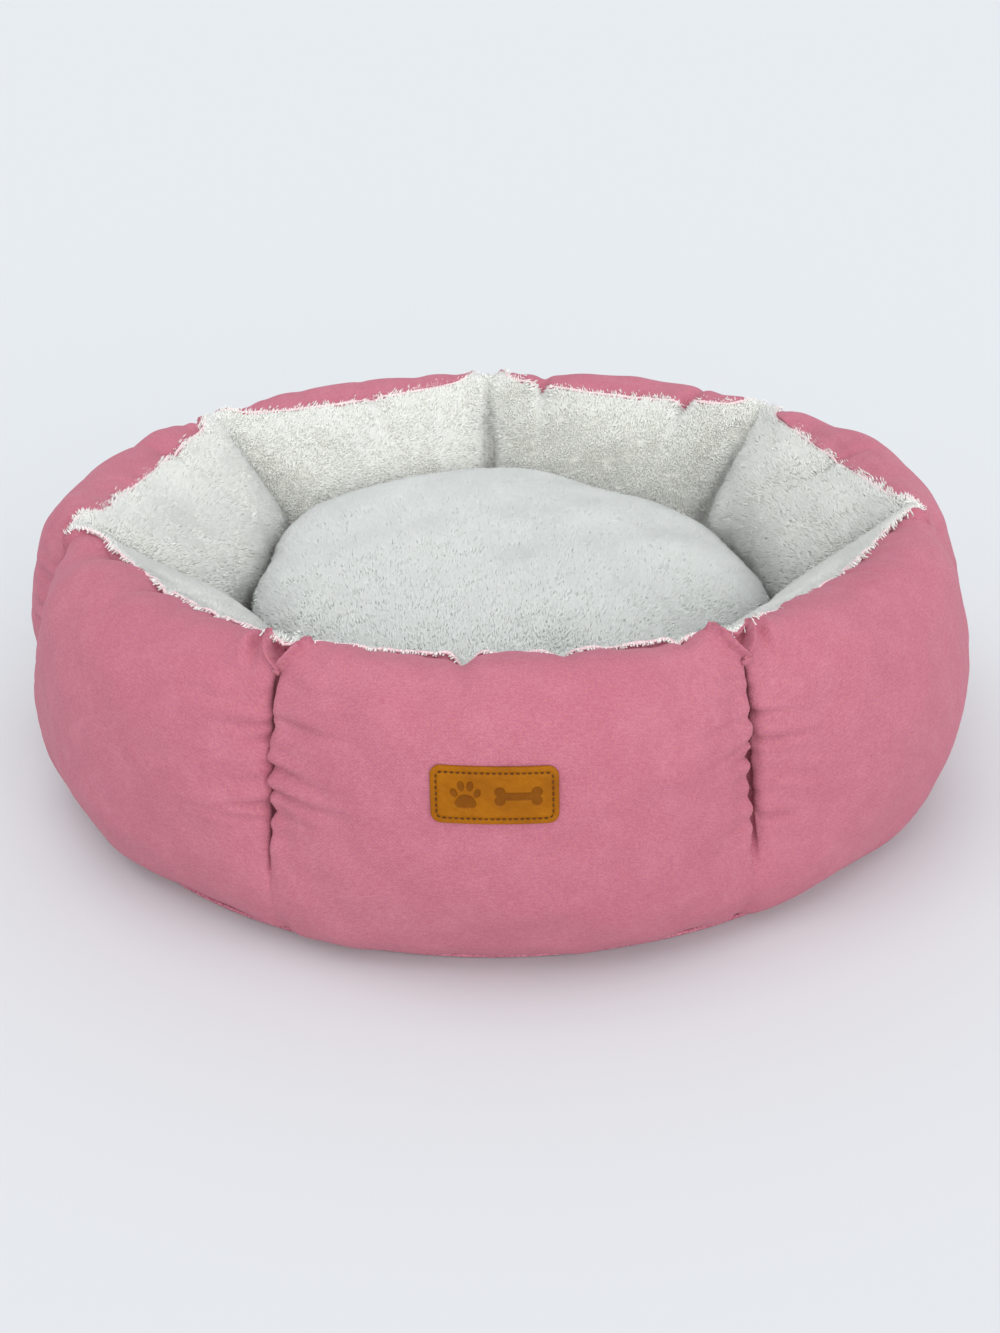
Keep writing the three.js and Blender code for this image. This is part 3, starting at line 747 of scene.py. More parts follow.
def add_wall_details(wall, angles, rim):
    """Gathers at the rim, nips, folded corners and the fine wrinkles that spread from the
    corner stitches. rim is the row of the seam; rows before it are the lining's."""
    across = across_of(angles)
    step = np.linalg.norm(np.diff(wall, axis=1), axis=-1)
    along = np.concatenate([np.zeros((len(wall), 1)), np.cumsum(step, axis=1)], axis=1)
    down = along - along[:, rim:rim + 1]
    normal = -normals_of(wall, True, False)
    side = side_of(angles)[:, None]
    corner = corner_of(angles)
    depth = np.abs(down)
    cover = down > 0

    # Broad unevenness, gathers close to the rim and creases that run down from it.
    move = wavelets(wall, 3, 12, 0.07, 0.16, 1) * 1.9 * fade(depth, 0, 0.03)
    move += wavelets(wall, 4, 14, 0.022, 0.05, 1.4) * 0.55 * fade(depth, 0, 0.02)
    arc = (angles * 0.24)[:, None]
    gathers = waves(8, 9, 0.011, 0.03, arc, arc * 0)
    move += gathers * np.where(cover, 0.75, 0.4) * np.exp(-depth / 0.012)
    creases = waves(9, 9, 0.022, 0.065, arc + down * 0.15, arc * 0)
    move += creases * 2.4 * np.exp(-depth / 0.04) * cover

    # The ruched cloth beside each row of corner stitches, and fine lines that fan out.
    fan = wavelets(wall, 12, 16, 0.008, 0.02, 5)
    fan = fan - 0.35 * np.abs(fan)
    strength = np.array(CORNER_RUCHE)[corner][:, None]
    tacked = cover * fade(down, 0.015, 0.03) * (1 - fade(down, 0.10, 0.13))
    ruche = np.cos(TAU * wall[..., 2] / TALL / (7 * MM) + 3 * angles[:, None])
    ruche *= 0.6 + 0.4 * wavelets(wall, 14, 8, 0.02, 0.05, 1)
    move += ruche * 0.7 * strength * np.exp(-side / 0.006) * fade(side, 0, 0.002) * tacked
    move += fan * 0.8 * strength * np.exp(-side / 0.024) * fade(side, 0, 0.004) * tacked
    # A few longer wrinkles to each side of a corner.
    rng = np.random.default_rng(17)
    signed = side * np.where(across < 0, 1, -1)[:, None]
    for number in range(PANELS):
        for hand in (-1, 1):
            for _ in range(4):
                height, reach = rng.uniform(72, 138) * MM * TALL, rng.uniform(18, 60) * MM
                tilt, deep = rng.uniform(-0.18, 0.18), rng.uniform(1.6, 3.0)
                line = hump(wall[..., 2] - tilt * side, height, 1.7 * MM)
                brow = hump(wall[..., 2] - tilt * side, height + 4.5 * MM, 3 * MM)
                here = (corner == number)[:, None] & (np.sign(signed) == hand) & cover
                move += (0.5 * brow - line) * deep * here * fade(reach - side, 0, reach) * fade(
                    side, 0.001, 0.006)
    move += (wavelets(wall, 13, 12, 0.02, 0.04, 2) * 0.9 * np.exp(-side / 0.03) * ~cover
             * fade(depth, 0.004, 0.02))

    # The lining bulges between the corners, most of all at the left.
    plump = hump(wall[..., 2], 0.098, 0.036) * ~cover
    move += 6.0 * plump * (1 - np.abs(across)[:, None] ** 3.5)
    move += LEFT_PLUMP * left_side(angles)[:, None] * hump(wall[..., 2], 0.09, 0.045) * ~cover
    puckers = wavelets(wall, 15, 14, 0.012, 0.03, 0.8) * np.exp(-side / 0.03) * cover
    move += puckers * 1.3 * fade(down, 0.002, 0.012) * (1 - fade(down, 0.03, 0.07))
    move -= 4.5 * plump * np.exp(-(side / 0.009) ** 2)
    move += 4.0 * (np.cos(angles) ** 2)[:, None] * hump(wall[..., 2], 0.085, 0.045) * cover

    # The corner itself: a crease, cloth that laps over it, and a curled fold at the rim.
    fold = np.array(CORNER_FOLDS, float)[corner][:, None]
    lap = np.array(CORNER_LAPS)[corner][:, None]
    move -= fold * 0.35 * np.exp(-(side / 0.003) ** 2) * hump(down, 0.020, 0.008)
    move -= (2.2 + 0.25 * fold) * np.exp(-side / 0.0016) * tacked
    move += 1.0 * hump(side, 0.006, 0.004) * tacked
    move += lap * tacked * (hump(signed, 0.004, 0.004) - 0.8 * hump(signed, -0.0045, 0.004))
    curl = down - (0.012 - 0.009 * (side / 0.010) ** 2)
    within = cover * fade(0.014 - side, 0, 0.005)
    move += 0.55 * fold * hump(curl, 0, 0.0034) * within
    move -= 0.55 * fold * hump(curl, -0.0062, 0.0034) * within * fade(down, 0, 0.002)
    aside = signed * np.sign(-lap) - 0.016
    move -= 0.4 * fold * hump(aside, 0, 0.0025) * hump(down, 0.011, 0.010) * cover
    move += 0.20 * fold * hump(aside, 0.006, 0.004) * hump(down, 0.010, 0.011) * cover
    # Dimples at the stitches and a notch at the foot of each corner.
    for height in TACK_HEIGHTS:
        near = np.exp(-(side / 0.005) ** 2
                      - ((wall[..., 2] - height * MM * TALL) / 0.0035) ** 2)
        move -= 1.6 * near * cover
    bottom = np.exp(-(side / 0.006) ** 2) * hump(wall[..., 2], 0.012, 0.012) * cover
    move -= 3.2 * bottom * np.isin(corner, (0, 1, 2, 6))[:, None]

    for degrees, deep, wide in RIM_NIPS:
        off = wrap(angles - math.radians(degrees))[:, None] * 245 / wide
        pinch = np.exp(-off ** 2)
        shoulders = np.exp(-((np.abs(off) - 2.6) / 1.2) ** 2)
        reach = np.exp(-depth / np.where(cover, 0.014, 0.008))
        tail = 0.75 * np.exp(-(off * 1.1) ** 2) * np.exp(-depth / 0.045)
        move -= deep * 0.55 * (pinch - 0.3 * shoulders) * reach + deep * 0.5 * tail
    # The cloth stays flat behind the label.
    behind_label = (hump(wall[..., 0], (label_low.x + label_high.x) / 2, 0.038)
                    * hump(wall[..., 2], (label_low.z + label_high.z) / 2 + 0.004, 0.021)
                    * (wall[..., 1] < -0.1) * cover)
    move *= 1 - np.minimum(1, 1.5 * behind_label)
    wall = wall + normal * (move * MM)[..., None]

    # The two sides of a corner are drawn together, and the rim sinks where it is nipped.
    closing = 0.72 * side * np.exp(-(side / 0.010) ** 2) * np.sign(signed) * cover
    closing *= fade(down, 0.008, 0.018) * (1 - fade(down, 0.10, 0.13))
    tangent = np.stack([-np.sin(angles), np.cos(angles), angles * 0], -1)[:, None]
    wall = wall - tangent * closing[..., None]
    for _ in range(12):
        calm = (wall[:, :rim - 3] + wall[:, 1:rim - 2] + wall[:, 2:rim - 1]) / 3
        wall[:, 1:rim - 2] = calm
    for degrees, deep, wide in RIM_NIPS:
        off = wrap(angles - math.radians(degrees))[:, None] * 245 / wide
        dip = deep * MM * np.exp(-off ** 2) * np.exp(-depth / 0.010)
        wall[..., 2] -= 0.7 * dip
    return wall, down


def two_layers(outer, thick):
    """A thin cloth between a grid closed round its columns and the same grid moved in."""
    inner = outer + normals_of(outer, True, False) * thick
    points = np.concatenate([outer, inner[:, ::-1]], axis=1)
    return points, grid_faces(points.shape[0], points.shape[1], True, True)[:, ::-1]


def make_cover(wall, down, angles, rim):
    """The pink cloth, from the rim to the hem, with the map that its weave follows."""
    outer = wall[:, rim:]
    points, faces = two_layers(outer, 1.2 * MM)
    thing = mesh_object("wall_cover", points.reshape(-1, 3), faces)
    lengthwise = np.concatenate([down[:, rim:], down[:, rim:][:, ::-1]], axis=1)
    around = np.repeat((angles * CLOTH_SPAN)[:, None], lengthwise.shape[1], 1)
    set_cloth_map(thing, around, lengthwise, TAU * CLOTH_SPAN)
    thing.data.materials.append(PINK)
    return thing


def make_lining(wall, down, angles, rim):
    """The plush's ground cloth, sunk below the pile's tips, with the pile on it, a piece for
    each panel."""
    face = wall[:, :rim + 1]
    sink = (0.5 + 2.0 * fade(-down[:, :rim + 1], 0.0, 0.012)) * MM
    ground = face + normals_of(face, True, False) * sink[..., None]
    points, faces = two_layers(ground[::3], 0.9 * MM)
    thing = mesh_object("wall_plush_cloth", points.reshape(-1, 3), faces, WALL_PLUSH_PAINTED_SHADE)
    fur = []
    per_panel = len(angles) // PANELS
    rows = ground.shape[1]
    flat = ground.reshape(-1, 3)
    faces = grid_faces(len(angles), rows, True, False)[:, ::-1]
    by_column = faces.reshape(len(angles), rows - 1, 4)
    drop = -down[:, :rim + 1]
    for panel in range(PANELS):
        columns = np.arange(panel * per_panel, (panel + 1) * per_panel)
        part = by_column[columns].reshape(-1, 4)
        near = drop.ravel()[part].mean(axis=1)
        thick = 1 + 0.4 * np.exp(-near / 0.006)
        bare = bare_corners(angles[columns]).repeat(rows - 1)
        thick *= 1 - bare * np.exp(-(near / 0.006) ** 2)
        fur.append(pile(f"wall_pile_{panel + 1}", flat, part, WALL_FIBRES, WALL_PILE_LENGTH,
                        100 + panel, WALL_PILE, thick,
                        lambda place: over_rim(place, wall[:, rim])))
    return thing, fur


def bare_corners(angles):
    """1 where the two front corners fold, so no pile pokes through the cover there."""
    return np.exp(-(side_of(angles) / 0.007) ** 4) * np.isin(corner_of(angles), (0, 1))


def over_rim(place, rim_points):
    """Combs the pile outwards where it is close to the rim, and inwards at the front."""
    out = unit(place * (1, 1, 0))
    close = hump(place[:, 2], rim_height(place, rim_points), 0.007)
    outwards, inwards = 0.6, 0.5
    lean = outwards - (outwards + inwards) * fade(-place[:, 1], 0.06, 0.14)
    return out * (close * lean)[:, None]


def rim_height(place, rim_points):
    """Height of the rim at each place's azimuth."""
    angle = np.arctan2(place[:, 1], place[:, 0]) % TAU
    own = np.arctan2(rim_points[:, 1], rim_points[:, 0]) % TAU
    order = np.argsort(own)
    return np.interp(angle, own[order], rim_points[order, 2], period=TAU)


def tube(points, radius, sides, closed):
    """Points and faces of a round cord along points, with a radius for each point. When it is not
    closed, its ends are left open.
    """
    points = np.asarray(points, float)
    if closed:
        ahead = np.roll(points, -1, 0) - np.roll(points, 1, 0)
    else:
        ahead = np.gradient(points, axis=0)
    ahead = unit(ahead)
    up = unit(np.cross(ahead, (0.31, 0.22, 0.93)))
    other = np.cross(ahead, up)
    turn = np.arange(sides) * TAU / sides
    radius = np.broadcast_to(np.asarray(radius, float).reshape(-1, 1, 1), (len(points), 1, 1))
    ring = points[:, None] + radius * (up[:, None] * np.cos(turn)[None, :, None]
                                       + other[:, None] * np.sin(turn)[None, :, None])
    return ring.reshape(-1, 3), grid_faces(len(points), sides, closed, True)


def cord(points, radius, sides=6):
    """A short cord with rounded ends."""
    radius = np.full(len(points), radius)
    radius[[0, -1]] *= 0.05
    radius[[1, -2]] *= 0.75
    return tube(points, radius, sides, False)


def joined(parts):
    """One list of points and faces from several."""
    points, faces, count = [], [], 0
    for own, some in parts:
        points.append(own)
        faces.append(some + count)
        count += len(own)
    return np.concatenate(points), np.concatenate(faces)


def make_rim_edge(wall, rim):
    """The raw folded edge of the rim's seam, a little uneven."""
    row = wall[:, rim] - normals_of(wall, True, False)[:, rim] * 0.0004
    row = row + (0, 0, 0.0002)
    rim_length = 1.55
    arc = np.arange(len(row)) / len(row) * rim_length
    radius = 0.00085 + 0.0002 * waves(21, 8, 0.006, 0.02, arc, arc * 0)
    points, faces = tube(row, radius, 8, True)
    thing = mesh_object("rim_seam_edge", points, faces, PALE_EDGE)
    return thing


def make_corner_stitches(wall, angles, rim, number, column):
    """The stitches that tie the cover to the lining through one corner."""
    rng = np.random.default_rng(300 + number)
    normal = -normals_of(wall, True, False)
    count = len(wall)
    parts = []
    for rows, sunk in ((np.arange(rim + 4, wall.shape[1]), 0), (np.arange(6, rim - 4), 0.0045)):
        for height in TACK_HEIGHTS:
            row = rows[np.argmin(np.abs(wall[column, rows, 2] - height * MM * TALL))]
            reach = np.linspace(-3, 3, 7)
            tilt = rng.uniform(-0.5, 0.5)
            path = []
            for k, at in enumerate(reach):
                here = wall[(column + int(at)) % count, row + int(round(at * tilt))]
                lift = (0.0005 if 0 < k < 6 else -0.0012) - sunk
                path.append(here + normal[(column + int(at)) % count, row] * lift)
            parts.append(cord(path, 0.00042))
    points, faces = joined(parts)
    thing = mesh_object(f"corner_stitches_{number + 1}", points, faces, PINK_THREAD)
    return thing


def make_wall_filling(wall, angles):
    """Loose fibre inside the wall: a closed form inside its cloth, thinner at the corners."""
    base = wall[:, ::6]
    near = np.exp(-((1 - np.abs(across_of(angles))) / 0.16) ** 2)[:, None, None]
    outward = turned(1, angles, 0)[:, None]
    radius = (base * outward).sum(-1)
    heart = outward * ((radius.min(1) + radius.max(1)) / 2)[:, None, None]
    heart = heart + (0, 0, 0.084 * TALL)
    inner = heart + (base - heart) * (0.9 - 0.3 * near)
    inner = inner + wavelets(inner, 41, 10, 0.03, 0.08, 1)[..., None] * 0.0012
    for _ in range(3):
        inner = (np.roll(inner, 2, 0) + inner + np.roll(inner, -2, 0)) / 3
    faces = grid_faces(inner.shape[0], inner.shape[1], True, True)[:, ::-1]
    thing = mesh_object("wall_filling", inner.reshape(-1, 3), faces, FIBRE)
    return thing


# ---------------------------------------------------------------- the cushion

CUSHION_COLUMNS, CUSHION_ROWS = 168, 60
CUSHION_SECTORS = 5              # pieces of its pile
CUSHION_PRESSURE, CUSHION_BEND, CUSHION_FRAMES = 1.2, 0.05, 10
CUSHION_REACH = 9 * MM


def cushion_reach(angles):
    """The cushion fills the nest out towards the corners, most of all at the back. mm."""
    reach = 171 + 4 * np.cos(PANELS * (angles + math.pi / 2) + math.pi) * 0.8
    reach = reach + 13 * hump(wrap(angles - math.radians(100)), 0, 0.75)
    return reach - (LEFT_PLUMP + 2) * left_side(angles)


def cushion_surface():
    """Closed skin of the cushion: rows run from its top centre over the seam to its
    bottom centre. Gives points and which row has the seam."""
    angles = np.arange(CUSHION_COLUMNS) / CUSHION_COLUMNS * TAU - math.pi / 2
    seam_row = CUSHION_ROWS * 5 // 8
    share = np.r_[np.linspace(0, 1, seam_row + 1) ** 0.8,
                  np.linspace(1, 0.02, CUSHION_ROWS - seam_row + 1)[1:]]
    share[0] = 0.003
    under = np.arange(len(share)) > seam_row
    top, seam, bottom = 131, 86, 36.5
    lift = 8 * hump(wrap(angles - math.radians(105)), 0, 0.9) - 4 * np.cos(angles)
    rise = (1 - share ** 2.7) ** (1 / 2.1)
    sink = (1 - share ** 5) ** (1 / 2.4)
    height = np.where(under, seam - (seam - bottom) * sink, seam + (top - seam) * rise)
    height = height[None] + lift[:, None] * (share ** 2 * ~under + share ** 4 * under)[None]
    radius = cushion_reach(angles)[:, None] * share[None]
    return turned(radius * WIDE, angles[:, None], height * TALL) * MM, seam_row


def with_poles(grid):
    """Points and faces of a grid closed round its columns, with both ends capped."""
    columns, rows = grid.shape[:2]
    flat = grid.reshape(-1, 3)
    ends = [grid[:, 0].mean(0), grid[:, -1].mean(0)]
    points = np.vstack([flat, ends])
    i = np.arange(columns)
    j = (i + 1) % columns
    quads = grid_faces(columns, rows, True, False)[:, ::-1]
    first = np.stack([np.full(columns, len(flat)), i * rows, j * rows], -1)
    last = np.stack([np.full(columns, len(flat) + 1), j * rows + rows - 1,
                     i * rows + rows - 1], -1)
    triangles = np.vstack([quads[:, [0, 1, 2]], quads[:, [0, 2, 3]], first, last])
    return points, triangles


def inflate_cushion(grid, seam_row):
    """The cushion's skin blown up from a cut a little wider than itself."""
    free, seam, under = 0.03, 0.35, 0.5
    hold = np.full(grid.shape[:2], free)
    hold[:, seam_row] = seam
    hold[:, -8:] = under
    rest = grid * (1.035, 1.035, 1.0)
    points, faces = with_poles(grid)
    held = np.r_[hold.ravel(), free, under]
    plain = np.vstack([rest.reshape(-1, 3), rest[:, 0].mean(0), rest[:, -1].mean(0)])
    moved = inflate(points, faces, plain, held, CUSHION_PRESSURE, CLOTH_MASS, CUSHION_BEND,
                    CUSHION_FRAMES)
    return capped(grid, moved[:-2].reshape(grid.shape), CUSHION_REACH)


def make_cushion():
    grid, seam_row = cushion_surface()
    grid = inflate_cushion(grid, seam_row)
    grid = finer_columns(grid, 3)
    fine = np.linspace(0, CUSHION_ROWS, CUSHION_ROWS * 2 + 1)
    fine[-1] -= 1e-9
    flat = np.moveaxis(grid, 1, 0).reshape(CUSHION_ROWS + 1, -1)
    i = np.floor(fine).astype(int)
    rows = [flat[np.clip(i + k, 0, CUSHION_ROWS)] for k in (-1, 0, 1, 2)]
    smooth = catmull(*rows, (fine - i)[:, None])
    grid = np.moveaxis(smooth.reshape(len(fine), -1, 3), 0, 1)
    seam = seam_row * 2
    normal = -normals_of(grid, True, False)
    angles = np.arctan2(grid[:, seam, 1], grid[:, seam, 0])
    arc = np.unwrap(angles)[:, None] * 0.172
    away = np.linalg.norm(grid - grid[:, seam:seam + 1], axis=-1)
    move = wavelets(grid, 51, 12, 0.08, 0.2, 1) * 1.3 + wavelets(grid, 52, 14, 0.03, 0.06, 1) * 0.3
    move += waves(53, 9, 0.012, 0.035, arc, arc * 0) * 0.8 * np.exp(-away / 0.014)
    move -= 2.2 * np.exp(-away / 0.0035)
    skin = grid + normal * (move * MM - 0.0022)[..., None]
    points, faces = with_poles(skin)
    thing = mesh_object("cushion", points, faces, CUSHION_PLUSH_PAINTED_SHADE)

    quads = grid_faces(skin.shape[0], skin.shape[1], True, False)[:, ::-1]
    by_column = quads.reshape(skin.shape[0], skin.shape[1] - 1, 4)
    reach = seam + 8
    fur = []
    ends = [sector * len(skin) // CUSHION_SECTORS for sector in range(CUSHION_SECTORS + 1)]
    for sector in range(CUSHION_SECTORS):
        columns = np.arange(ends[sector], ends[sector + 1])
        part = by_column[columns, :reach].reshape(-1, 4)
        fur.append(pile(f"cushion_pile_{sector + 1}", skin.reshape(-1, 3), part, CUSHION_FIBRES,
                        CUSHION_PILE_LENGTH, 400 + sector, CUSHION_PILE))
    edge_row = skin[:, seam] + normal[:, seam] * 0.0004
    edge_points, edge_faces = tube(edge_row, 0.0011, 8, True)
    edge = mesh_object("cushion_edge_seam", edge_points, edge_faces, WHITE_THREAD)
    return thing, fur, edge


# ---------------------------------------------------------------- the label

# All in mm.
LABEL_WIDE, LABEL_HIGH, LABEL_ROUND = 60.0, 27.5, 5.0
LABEL_THICK, LABEL_LIFT = 1.6, 0.35
STITCH_INSET, STITCH_PITCH = 2.9, 2.8


def in_rounded(u, v, wide, high, radius):
    """Signed distance, mm, from a rounded rectangle's edge; negative inside."""
    x = np.abs(u) - wide / 2 + radius
    y = np.abs(v) - high / 2 + radius
    return (np.hypot(np.maximum(x, 0), np.maximum(y, 0))
            + np.minimum(np.maximum(x, y), 0) - radius)


def oval(u, v, x, y, wide, high, turn=0.0):
    """About the distance, mm, from an oval's edge; negative inside."""
    c, s = math.cos(turn), math.sin(turn)
    a, b = (u - x) * c + (v - y) * s, (v - y) * c - (u - x) * s
    return (np.hypot(a / wide, b / high) - 1) * min(wide, high)


def label_drawing(u, v):
    """A plain paw print and a bone: distance in mm from their edges, negative inside."""
    paw = np.minimum.reduce([
        oval(u, v, -13.5, -2.6, 4.3, 3.3), oval(u, v, -16.2, -3.6, 2.3, 2.1),
        oval(u, v, -10.8, -3.6, 2.3, 2.1),
        oval(u, v, -18.9, 1.3, 1.55, 2.2, 0.45), oval(u, v, -15.6, 4.6, 1.6, 2.4, 0.15),
        oval(u, v, -11.4, 4.6, 1.6, 2.4, -0.15), oval(u, v, -8.1, 1.3, 1.55, 2.2, -0.45)])
    bar = in_rounded(u - 11, v, 17, 3.6, 1.0)
    bone = np.minimum.reduce([bar] + [oval(u, v, 11 + x, y, 2.5, 2.3)
                                      for x in (-8.6, 8.6) for y in (-2.1, 2.1)])
    return np.minimum(paw, bone)


def label_frame(wall, rim):
    """Fits a smooth curved plane to the cover behind the label. Gives a function from the
    label's own place (mm across, mm up, mm out) to space."""
    low, high = label_low, label_high
    centre_x, centre_z = (low.x + high.x) / 2, (low.z + high.z) / 2 + 0.004
    cloth = wall[:, rim:].reshape(-1, 3)
    near = ((cloth[:, 1] < -0.15) & (np.abs(cloth[:, 0] - centre_x) < 0.036)
            & (np.abs(cloth[:, 2] - centre_z) < 0.018))
    x, y, z = (cloth[near] - (centre_x, 0, centre_z)).T

    def terms(x, z):
        return np.stack([np.ones_like(x), x, z, x * x, x * z, z * z], -1)
    fit = np.linalg.lstsq(terms(x, z), y, rcond=None)[0]
    gap = np.percentile((terms(x, z) @ fit) - y, 98)

    def to_space(u, v, out):
        x, z = u * MM, v * MM
        y = terms(x, z) @ fit - gap
        slope_x = fit[1] + 2 * fit[3] * x + fit[4] * z
        slope_z = fit[2] + fit[4] * x + 2 * fit[5] * z
        normal = unit(np.stack([slope_x, -np.ones_like(x), slope_z], -1))
        return (np.stack([x + centre_x, y, z + centre_z], -1)
                + normal * (np.asarray(out) * MM)[..., None])
    return to_space


def make_label(wall, rim):
    """The leather label, with rounded corners and edges and the drawing pressed in."""
    to_space = label_frame(wall, rim)
    columns, rows = 231, 105
    a, b = np.meshgrid(np.linspace(-1, 1, columns), np.linspace(-1, 1, rows), indexing="ij")
    u, v = a * LABEL_WIDE / 2, b * LABEL_HIGH / 2
    x = (np.abs(u) - LABEL_WIDE / 2 + LABEL_ROUND) / LABEL_ROUND
    y = (np.abs(v) - LABEL_HIGH / 2 + LABEL_ROUND) / LABEL_ROUND
    bend = (x > 0) & (y > 0)
    round_x = np.where(bend, x * np.sqrt(np.maximum(0, 1 - y * y / 2)), x)
    round_y = np.where(bend, y * np.sqrt(np.maximum(0, 1 - x * x / 2)), y)
    u = np.sign(u) * (LABEL_WIDE / 2 + (round_x - 1) * LABEL_ROUND)
    v = np.sign(v) * (LABEL_HIGH / 2 + (round_y - 1) * LABEL_ROUND)
    u[columns // 2], v[:, rows // 2] = 0, 0
    inside = -in_rounded(u, v, LABEL_WIDE, LABEL_HIGH, LABEL_ROUND).clip(None, 0)
    edge = np.sqrt(1 - (1 - (inside / 0.9).clip(0, 1)) ** 2)
    out = LABEL_LIFT + LABEL_THICK * (0.45 + 0.55 * edge)
    out += 0.3 * hump(inside, 4.6, 1.6) - 0.4 * hump(inside, STITCH_INSET, 0.55)
    drawing = label_drawing(u, v)
    pressed = 1 - fade(drawing, -0.25, 0.2)
    out -= 0.55 * pressed
    out += 0.05 * waves(61, 12, 1.5, 6, u, v)
    top = to_space(u, v, out)
    back = to_space(u, v, np.zeros_like(out))
    flat = np.concatenate([top.reshape(-1, 3), back.reshape(-1, 3)])
    count = columns * rows
    face = grid_faces(columns, rows, False, False)
    ring = np.r_[np.arange(columns) * rows, (columns - 1) * rows + np.arange(1, rows),
                 (np.arange(columns - 1)[::-1]) * rows + rows - 1,
                 np.arange(1, rows - 1)[::-1]]
    nxt = np.roll(ring, -1)
    sides = np.stack([ring, nxt, nxt + count, ring + count], -1)
    faces = np.vstack([face, face[:, ::-1] + count, sides[:, ::-1]])
    dark = np.zeros(len(faces), int)
    dark[:len(face)] = (drawing.ravel()[face].mean(1) < 0)
    thing = mesh_object("label", flat, faces, LEATHER, PRESSED_LEATHER, slots=dark)
    return thing, make_label_stitches(to_space)


def make_label_stitches(to_space):
    """A running stitch round the label, in the groove that it pulls into the leather."""
    inset = STITCH_INSET
    w, h, r = LABEL_WIDE / 2 - inset, LABEL_HIGH / 2 - inset, LABEL_ROUND - inset + 0.6
    outline = []
    for cx, cy, start in ((w - r, h - r, 0), (r - w, h - r, 90), (r - w, r - h, 180),
                          (w - r, r - h, 270)):
        for degrees in range(start, start + 91, 10):
            t = math.radians(degrees)
            outline.append((cx + r * math.cos(t), cy + r * math.sin(t)))
    outline = np.array(outline + outline[:1])
    length = np.r_[0, np.cumsum(np.linalg.norm(np.diff(outline, axis=0), axis=1))]
    stitches = int(round(length[-1] / STITCH_PITCH))
    parts = []
    for k in range(stitches):
        at = (k + np.linspace(0, 0.72, 7)) * length[-1] / stitches
        su, sv = np.interp(at, length, outline[:, 0]), np.interp(at, length, outline[:, 1])
        lift = LABEL_LIFT + LABEL_THICK - 0.28 + 0.35 * np.sin(np.linspace(0, math.pi, 7))
        parts.append(cord(to_space(su, sv, lift), 0.00038))
    points, faces = joined(parts)
    return mesh_object("label_stitches", points, faces, BROWN_THREAD)


# ---------------------------------------------------------------- the base

def disc(rings, columns, radius, height):
    """A grid of points over a disc: columns go round, rows go from the centre out."""
    share = np.linspace(0.02, 1, rings)
    angles = np.arange(columns) / columns * TAU - math.pi / 2 - HALF
    return turned(share * radius, angles[:, None], height).copy()


def slab(grid, thick):
    """A closed thin slab from a disc's grid, thick metres high."""
    lower = grid - (0, 0, thick)
    return with_poles(np.concatenate([grid, lower[:, ::-1]], axis=1))


def seam_ring(name, node, share, uneven, material):
    """A seam that runs round in a circle, with its node's own box. It fills this share of
    the box's thickness, and is uneven by that much more."""
    low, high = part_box(node)
    angles = np.arange(336) / 336 * TAU
    thick = (high.z - low.z) / 2
    radius = high.x - thick
    arc = angles * radius
    width = thick * (share + uneven * waves(72, 8, 0.01, 0.03, arc, arc * 0))
    points, faces = tube(turned(radius, angles, (low.z + high.z) / 2), width, 8, True)
    return mesh_object(name, points, faces, material)


def make_base():
    """The base cloth and its hem, the filling, and the nest's floor with its pile and seam."""
    low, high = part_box("base_fabric")
    grid = disc(40, 168, high.x, high.z)
    rim = np.linalg.norm(grid[..., :2], axis=-1) / high.x
    grid[..., 2] += wavelets(grid, 71, 10, 0.05, 0.12, 1) * 0.0002 * (1 - rim)
    points, faces = slab(grid, (high.z - low.z) * 0.8)
    cloth = mesh_object("base_cloth", points, faces, GREY_BASE)

    hem = seam_ring("base_hem", "base_seam", 0.93, 0.06, PINK_THREAD)

    low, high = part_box("base_pad")
    grid = disc(30, 112, high.x, high.z)
    grid[..., 2] += wavelets(grid, 73, 10, 0.03, 0.09, 1) * 0.0008 - 0.0008
    points, faces = slab(grid, (high.z - low.z) * 0.95)
    filling = mesh_object("base_filling", points, faces, FIBRE)

    low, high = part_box("floor_lining")
    grid = disc(44, 224, high.x, high.z)
    share = np.linalg.norm(grid[..., :2], axis=-1) / high.x
    grid[..., 2] += (wavelets(grid, 74, 12, 0.03, 0.1, 1) * 0.0006 - 0.0006) * (1 - share ** 4)
    points, faces = slab(grid, min(high.z - low.z, 0.0012))
    floor = mesh_object("nest_floor", points, faces, WALL_PLUSH_PAINTED_SHADE)
    quads = grid_faces(grid.shape[0], grid.shape[1], True, False)[:, ::-1]
    fur = pile("nest_floor_pile", grid.reshape(-1, 3), quads, FLOOR_FIBRES,
               FLOOR_PILE_LENGTH, 500, WALL_PILE)

    seam = seam_ring("nest_floor_seam", "floor_seam", 0.95, 0, WHITE_THREAD)
    return cloth, hem, filling, floor, fur, seam


# ---------------------------------------------------------------- making it all

WALL_FIBRES = 1_500_000          # pile fibres for each square metre
CUSHION_FIBRES = 1_700_000
FLOOR_FIBRES = 400_000
PER_PANEL, SPACING, FINER = 44, 5.5, 3
LINING_ROWS, COVER_ROWS = 84, 150

make_stage()
sim_places = section_places(SPACING)
sim_angles, sim_across = wall_columns(PER_PANEL)
sim_grid = wall_surface(sim_places, sim_angles, sim_across)
sim_grid = inflate_wall(sim_grid, sim_places, sim_angles, PER_PANEL)

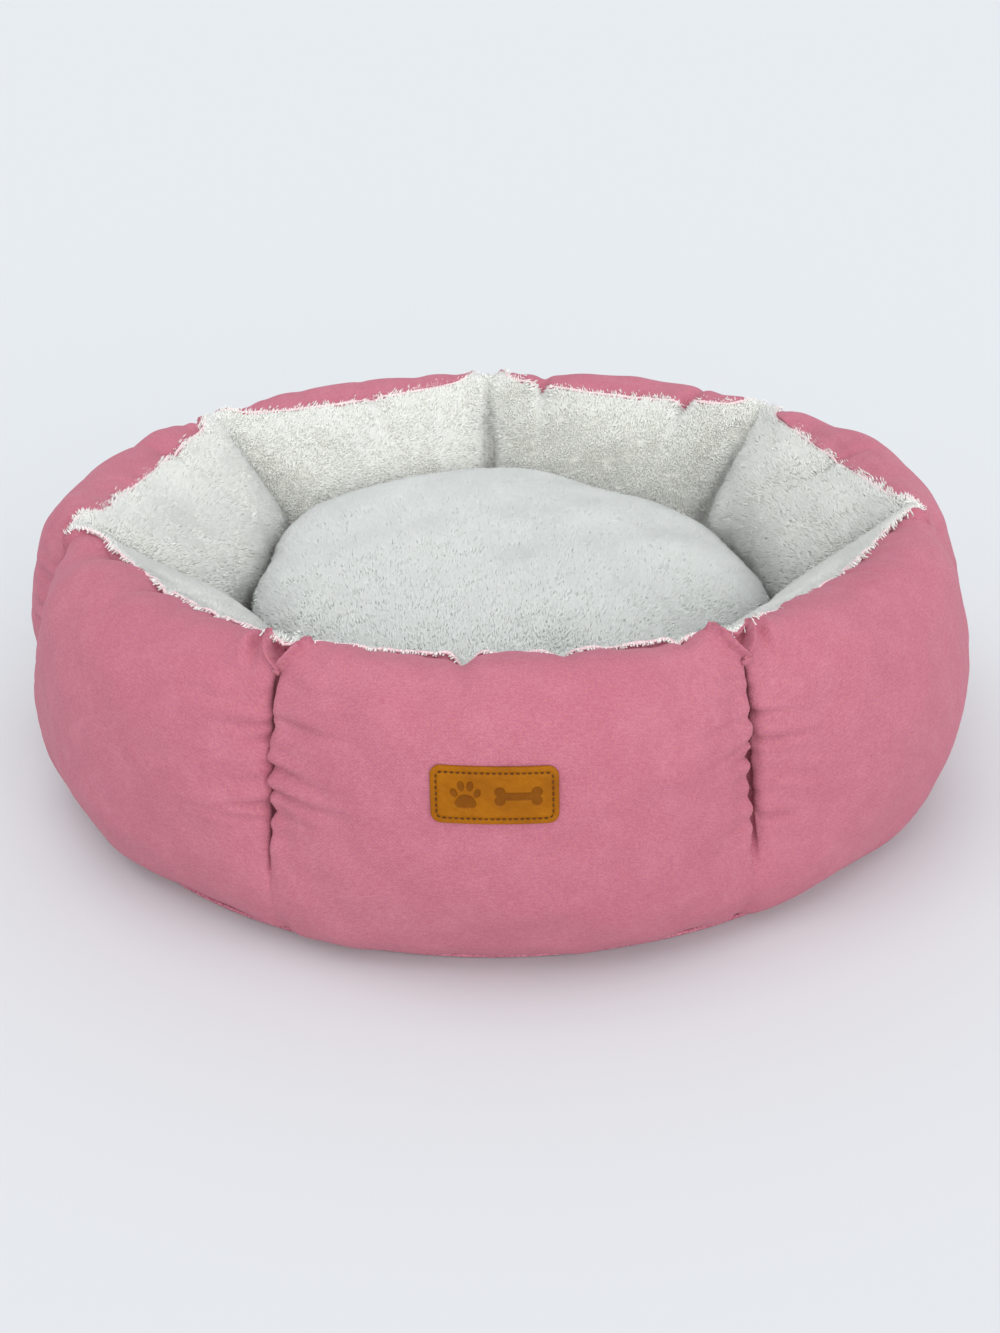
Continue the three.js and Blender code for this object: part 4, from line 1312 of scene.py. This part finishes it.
angles = finer_angles(sim_angles, FINER)
steps = np.r_[np.linspace(0, RIM, LINING_ROWS, endpoint=False),
              RIM + (HEM - RIM) * np.linspace(0, 1, COVER_ROWS) ** 1.35]
slid = tabs(steps, angles, across_of(angles))
index = np.interp(slid, np.r_[sim_places, STEPS], np.arange(len(sim_places) + 1))
wall = read_rows(finer_columns(sim_grid, FINER), index)
wall, down = add_wall_details(wall, angles, LINING_ROWS)

wall_cover = make_cover(wall, down, angles, LINING_ROWS)
wall_lining, wall_fur = make_lining(wall, down, angles, LINING_ROWS)
rim_edge = make_rim_edge(wall, LINING_ROWS)
stitches = [make_corner_stitches(wall, angles, LINING_ROWS, number,
                                 ((number + 1) % PANELS) * PER_PANEL * FINER)
            for number in range(PANELS)]
wall_filling = make_wall_filling(wall, angles)
cushion, cushion_fur, cushion_edge = make_cushion()
label, label_stitches = make_label(wall, LINING_ROWS)
base_cloth, base_hem, base_filling, nest_floor, nest_fur, nest_seam = make_base()

# Each piece, its material slot, its body and the nodes that it stands for.
PIECES = [
    (wall_cover, "cover_cloth", "bed", "outer_cover"),
    (wall_lining, "plush", "bed", "wall_lining"),
    (rim_edge, "pale_thread", "bed", "rim_seam"),
    (wall_filling, "fibre", "bed", *[f"bolster_fill_{k + 1}" for k in range(PANELS)]),
    (label, "label_leather", "bed", "label_patch"),
    (label_stitches, "label_thread", "bed", "label_stitching"),
    (base_cloth, "base_cloth", "bed", "base_fabric"),
    (base_hem, "cover_thread", "bed", "base_seam"),
    (base_filling, "fibre", "bed", "base_pad"), (nest_floor, "plush", "bed", "floor_lining"),
    (nest_seam, "white_thread", "bed", "floor_seam"), (nest_fur, "plush", "bed"),
    (cushion, "plush", "cushion", "cushion_top", "cushion_bottom", "cushion_fill"),
    (cushion_edge, "white_thread", "cushion", "cushion_seam"),
]
PIECES += [(thing, "cover_thread", "bed", f"corner_tack_{k + 1}")
           for k, thing in enumerate(stitches)]
PIECES += [(thing, "plush", "bed") for thing in wall_fur]
PIECES += [(thing, "plush", "cushion") for thing in cushion_fur]
for thing, slot, body, *nodes in PIECES:
    if nodes:
        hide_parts(*nodes)
    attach(thing, body)
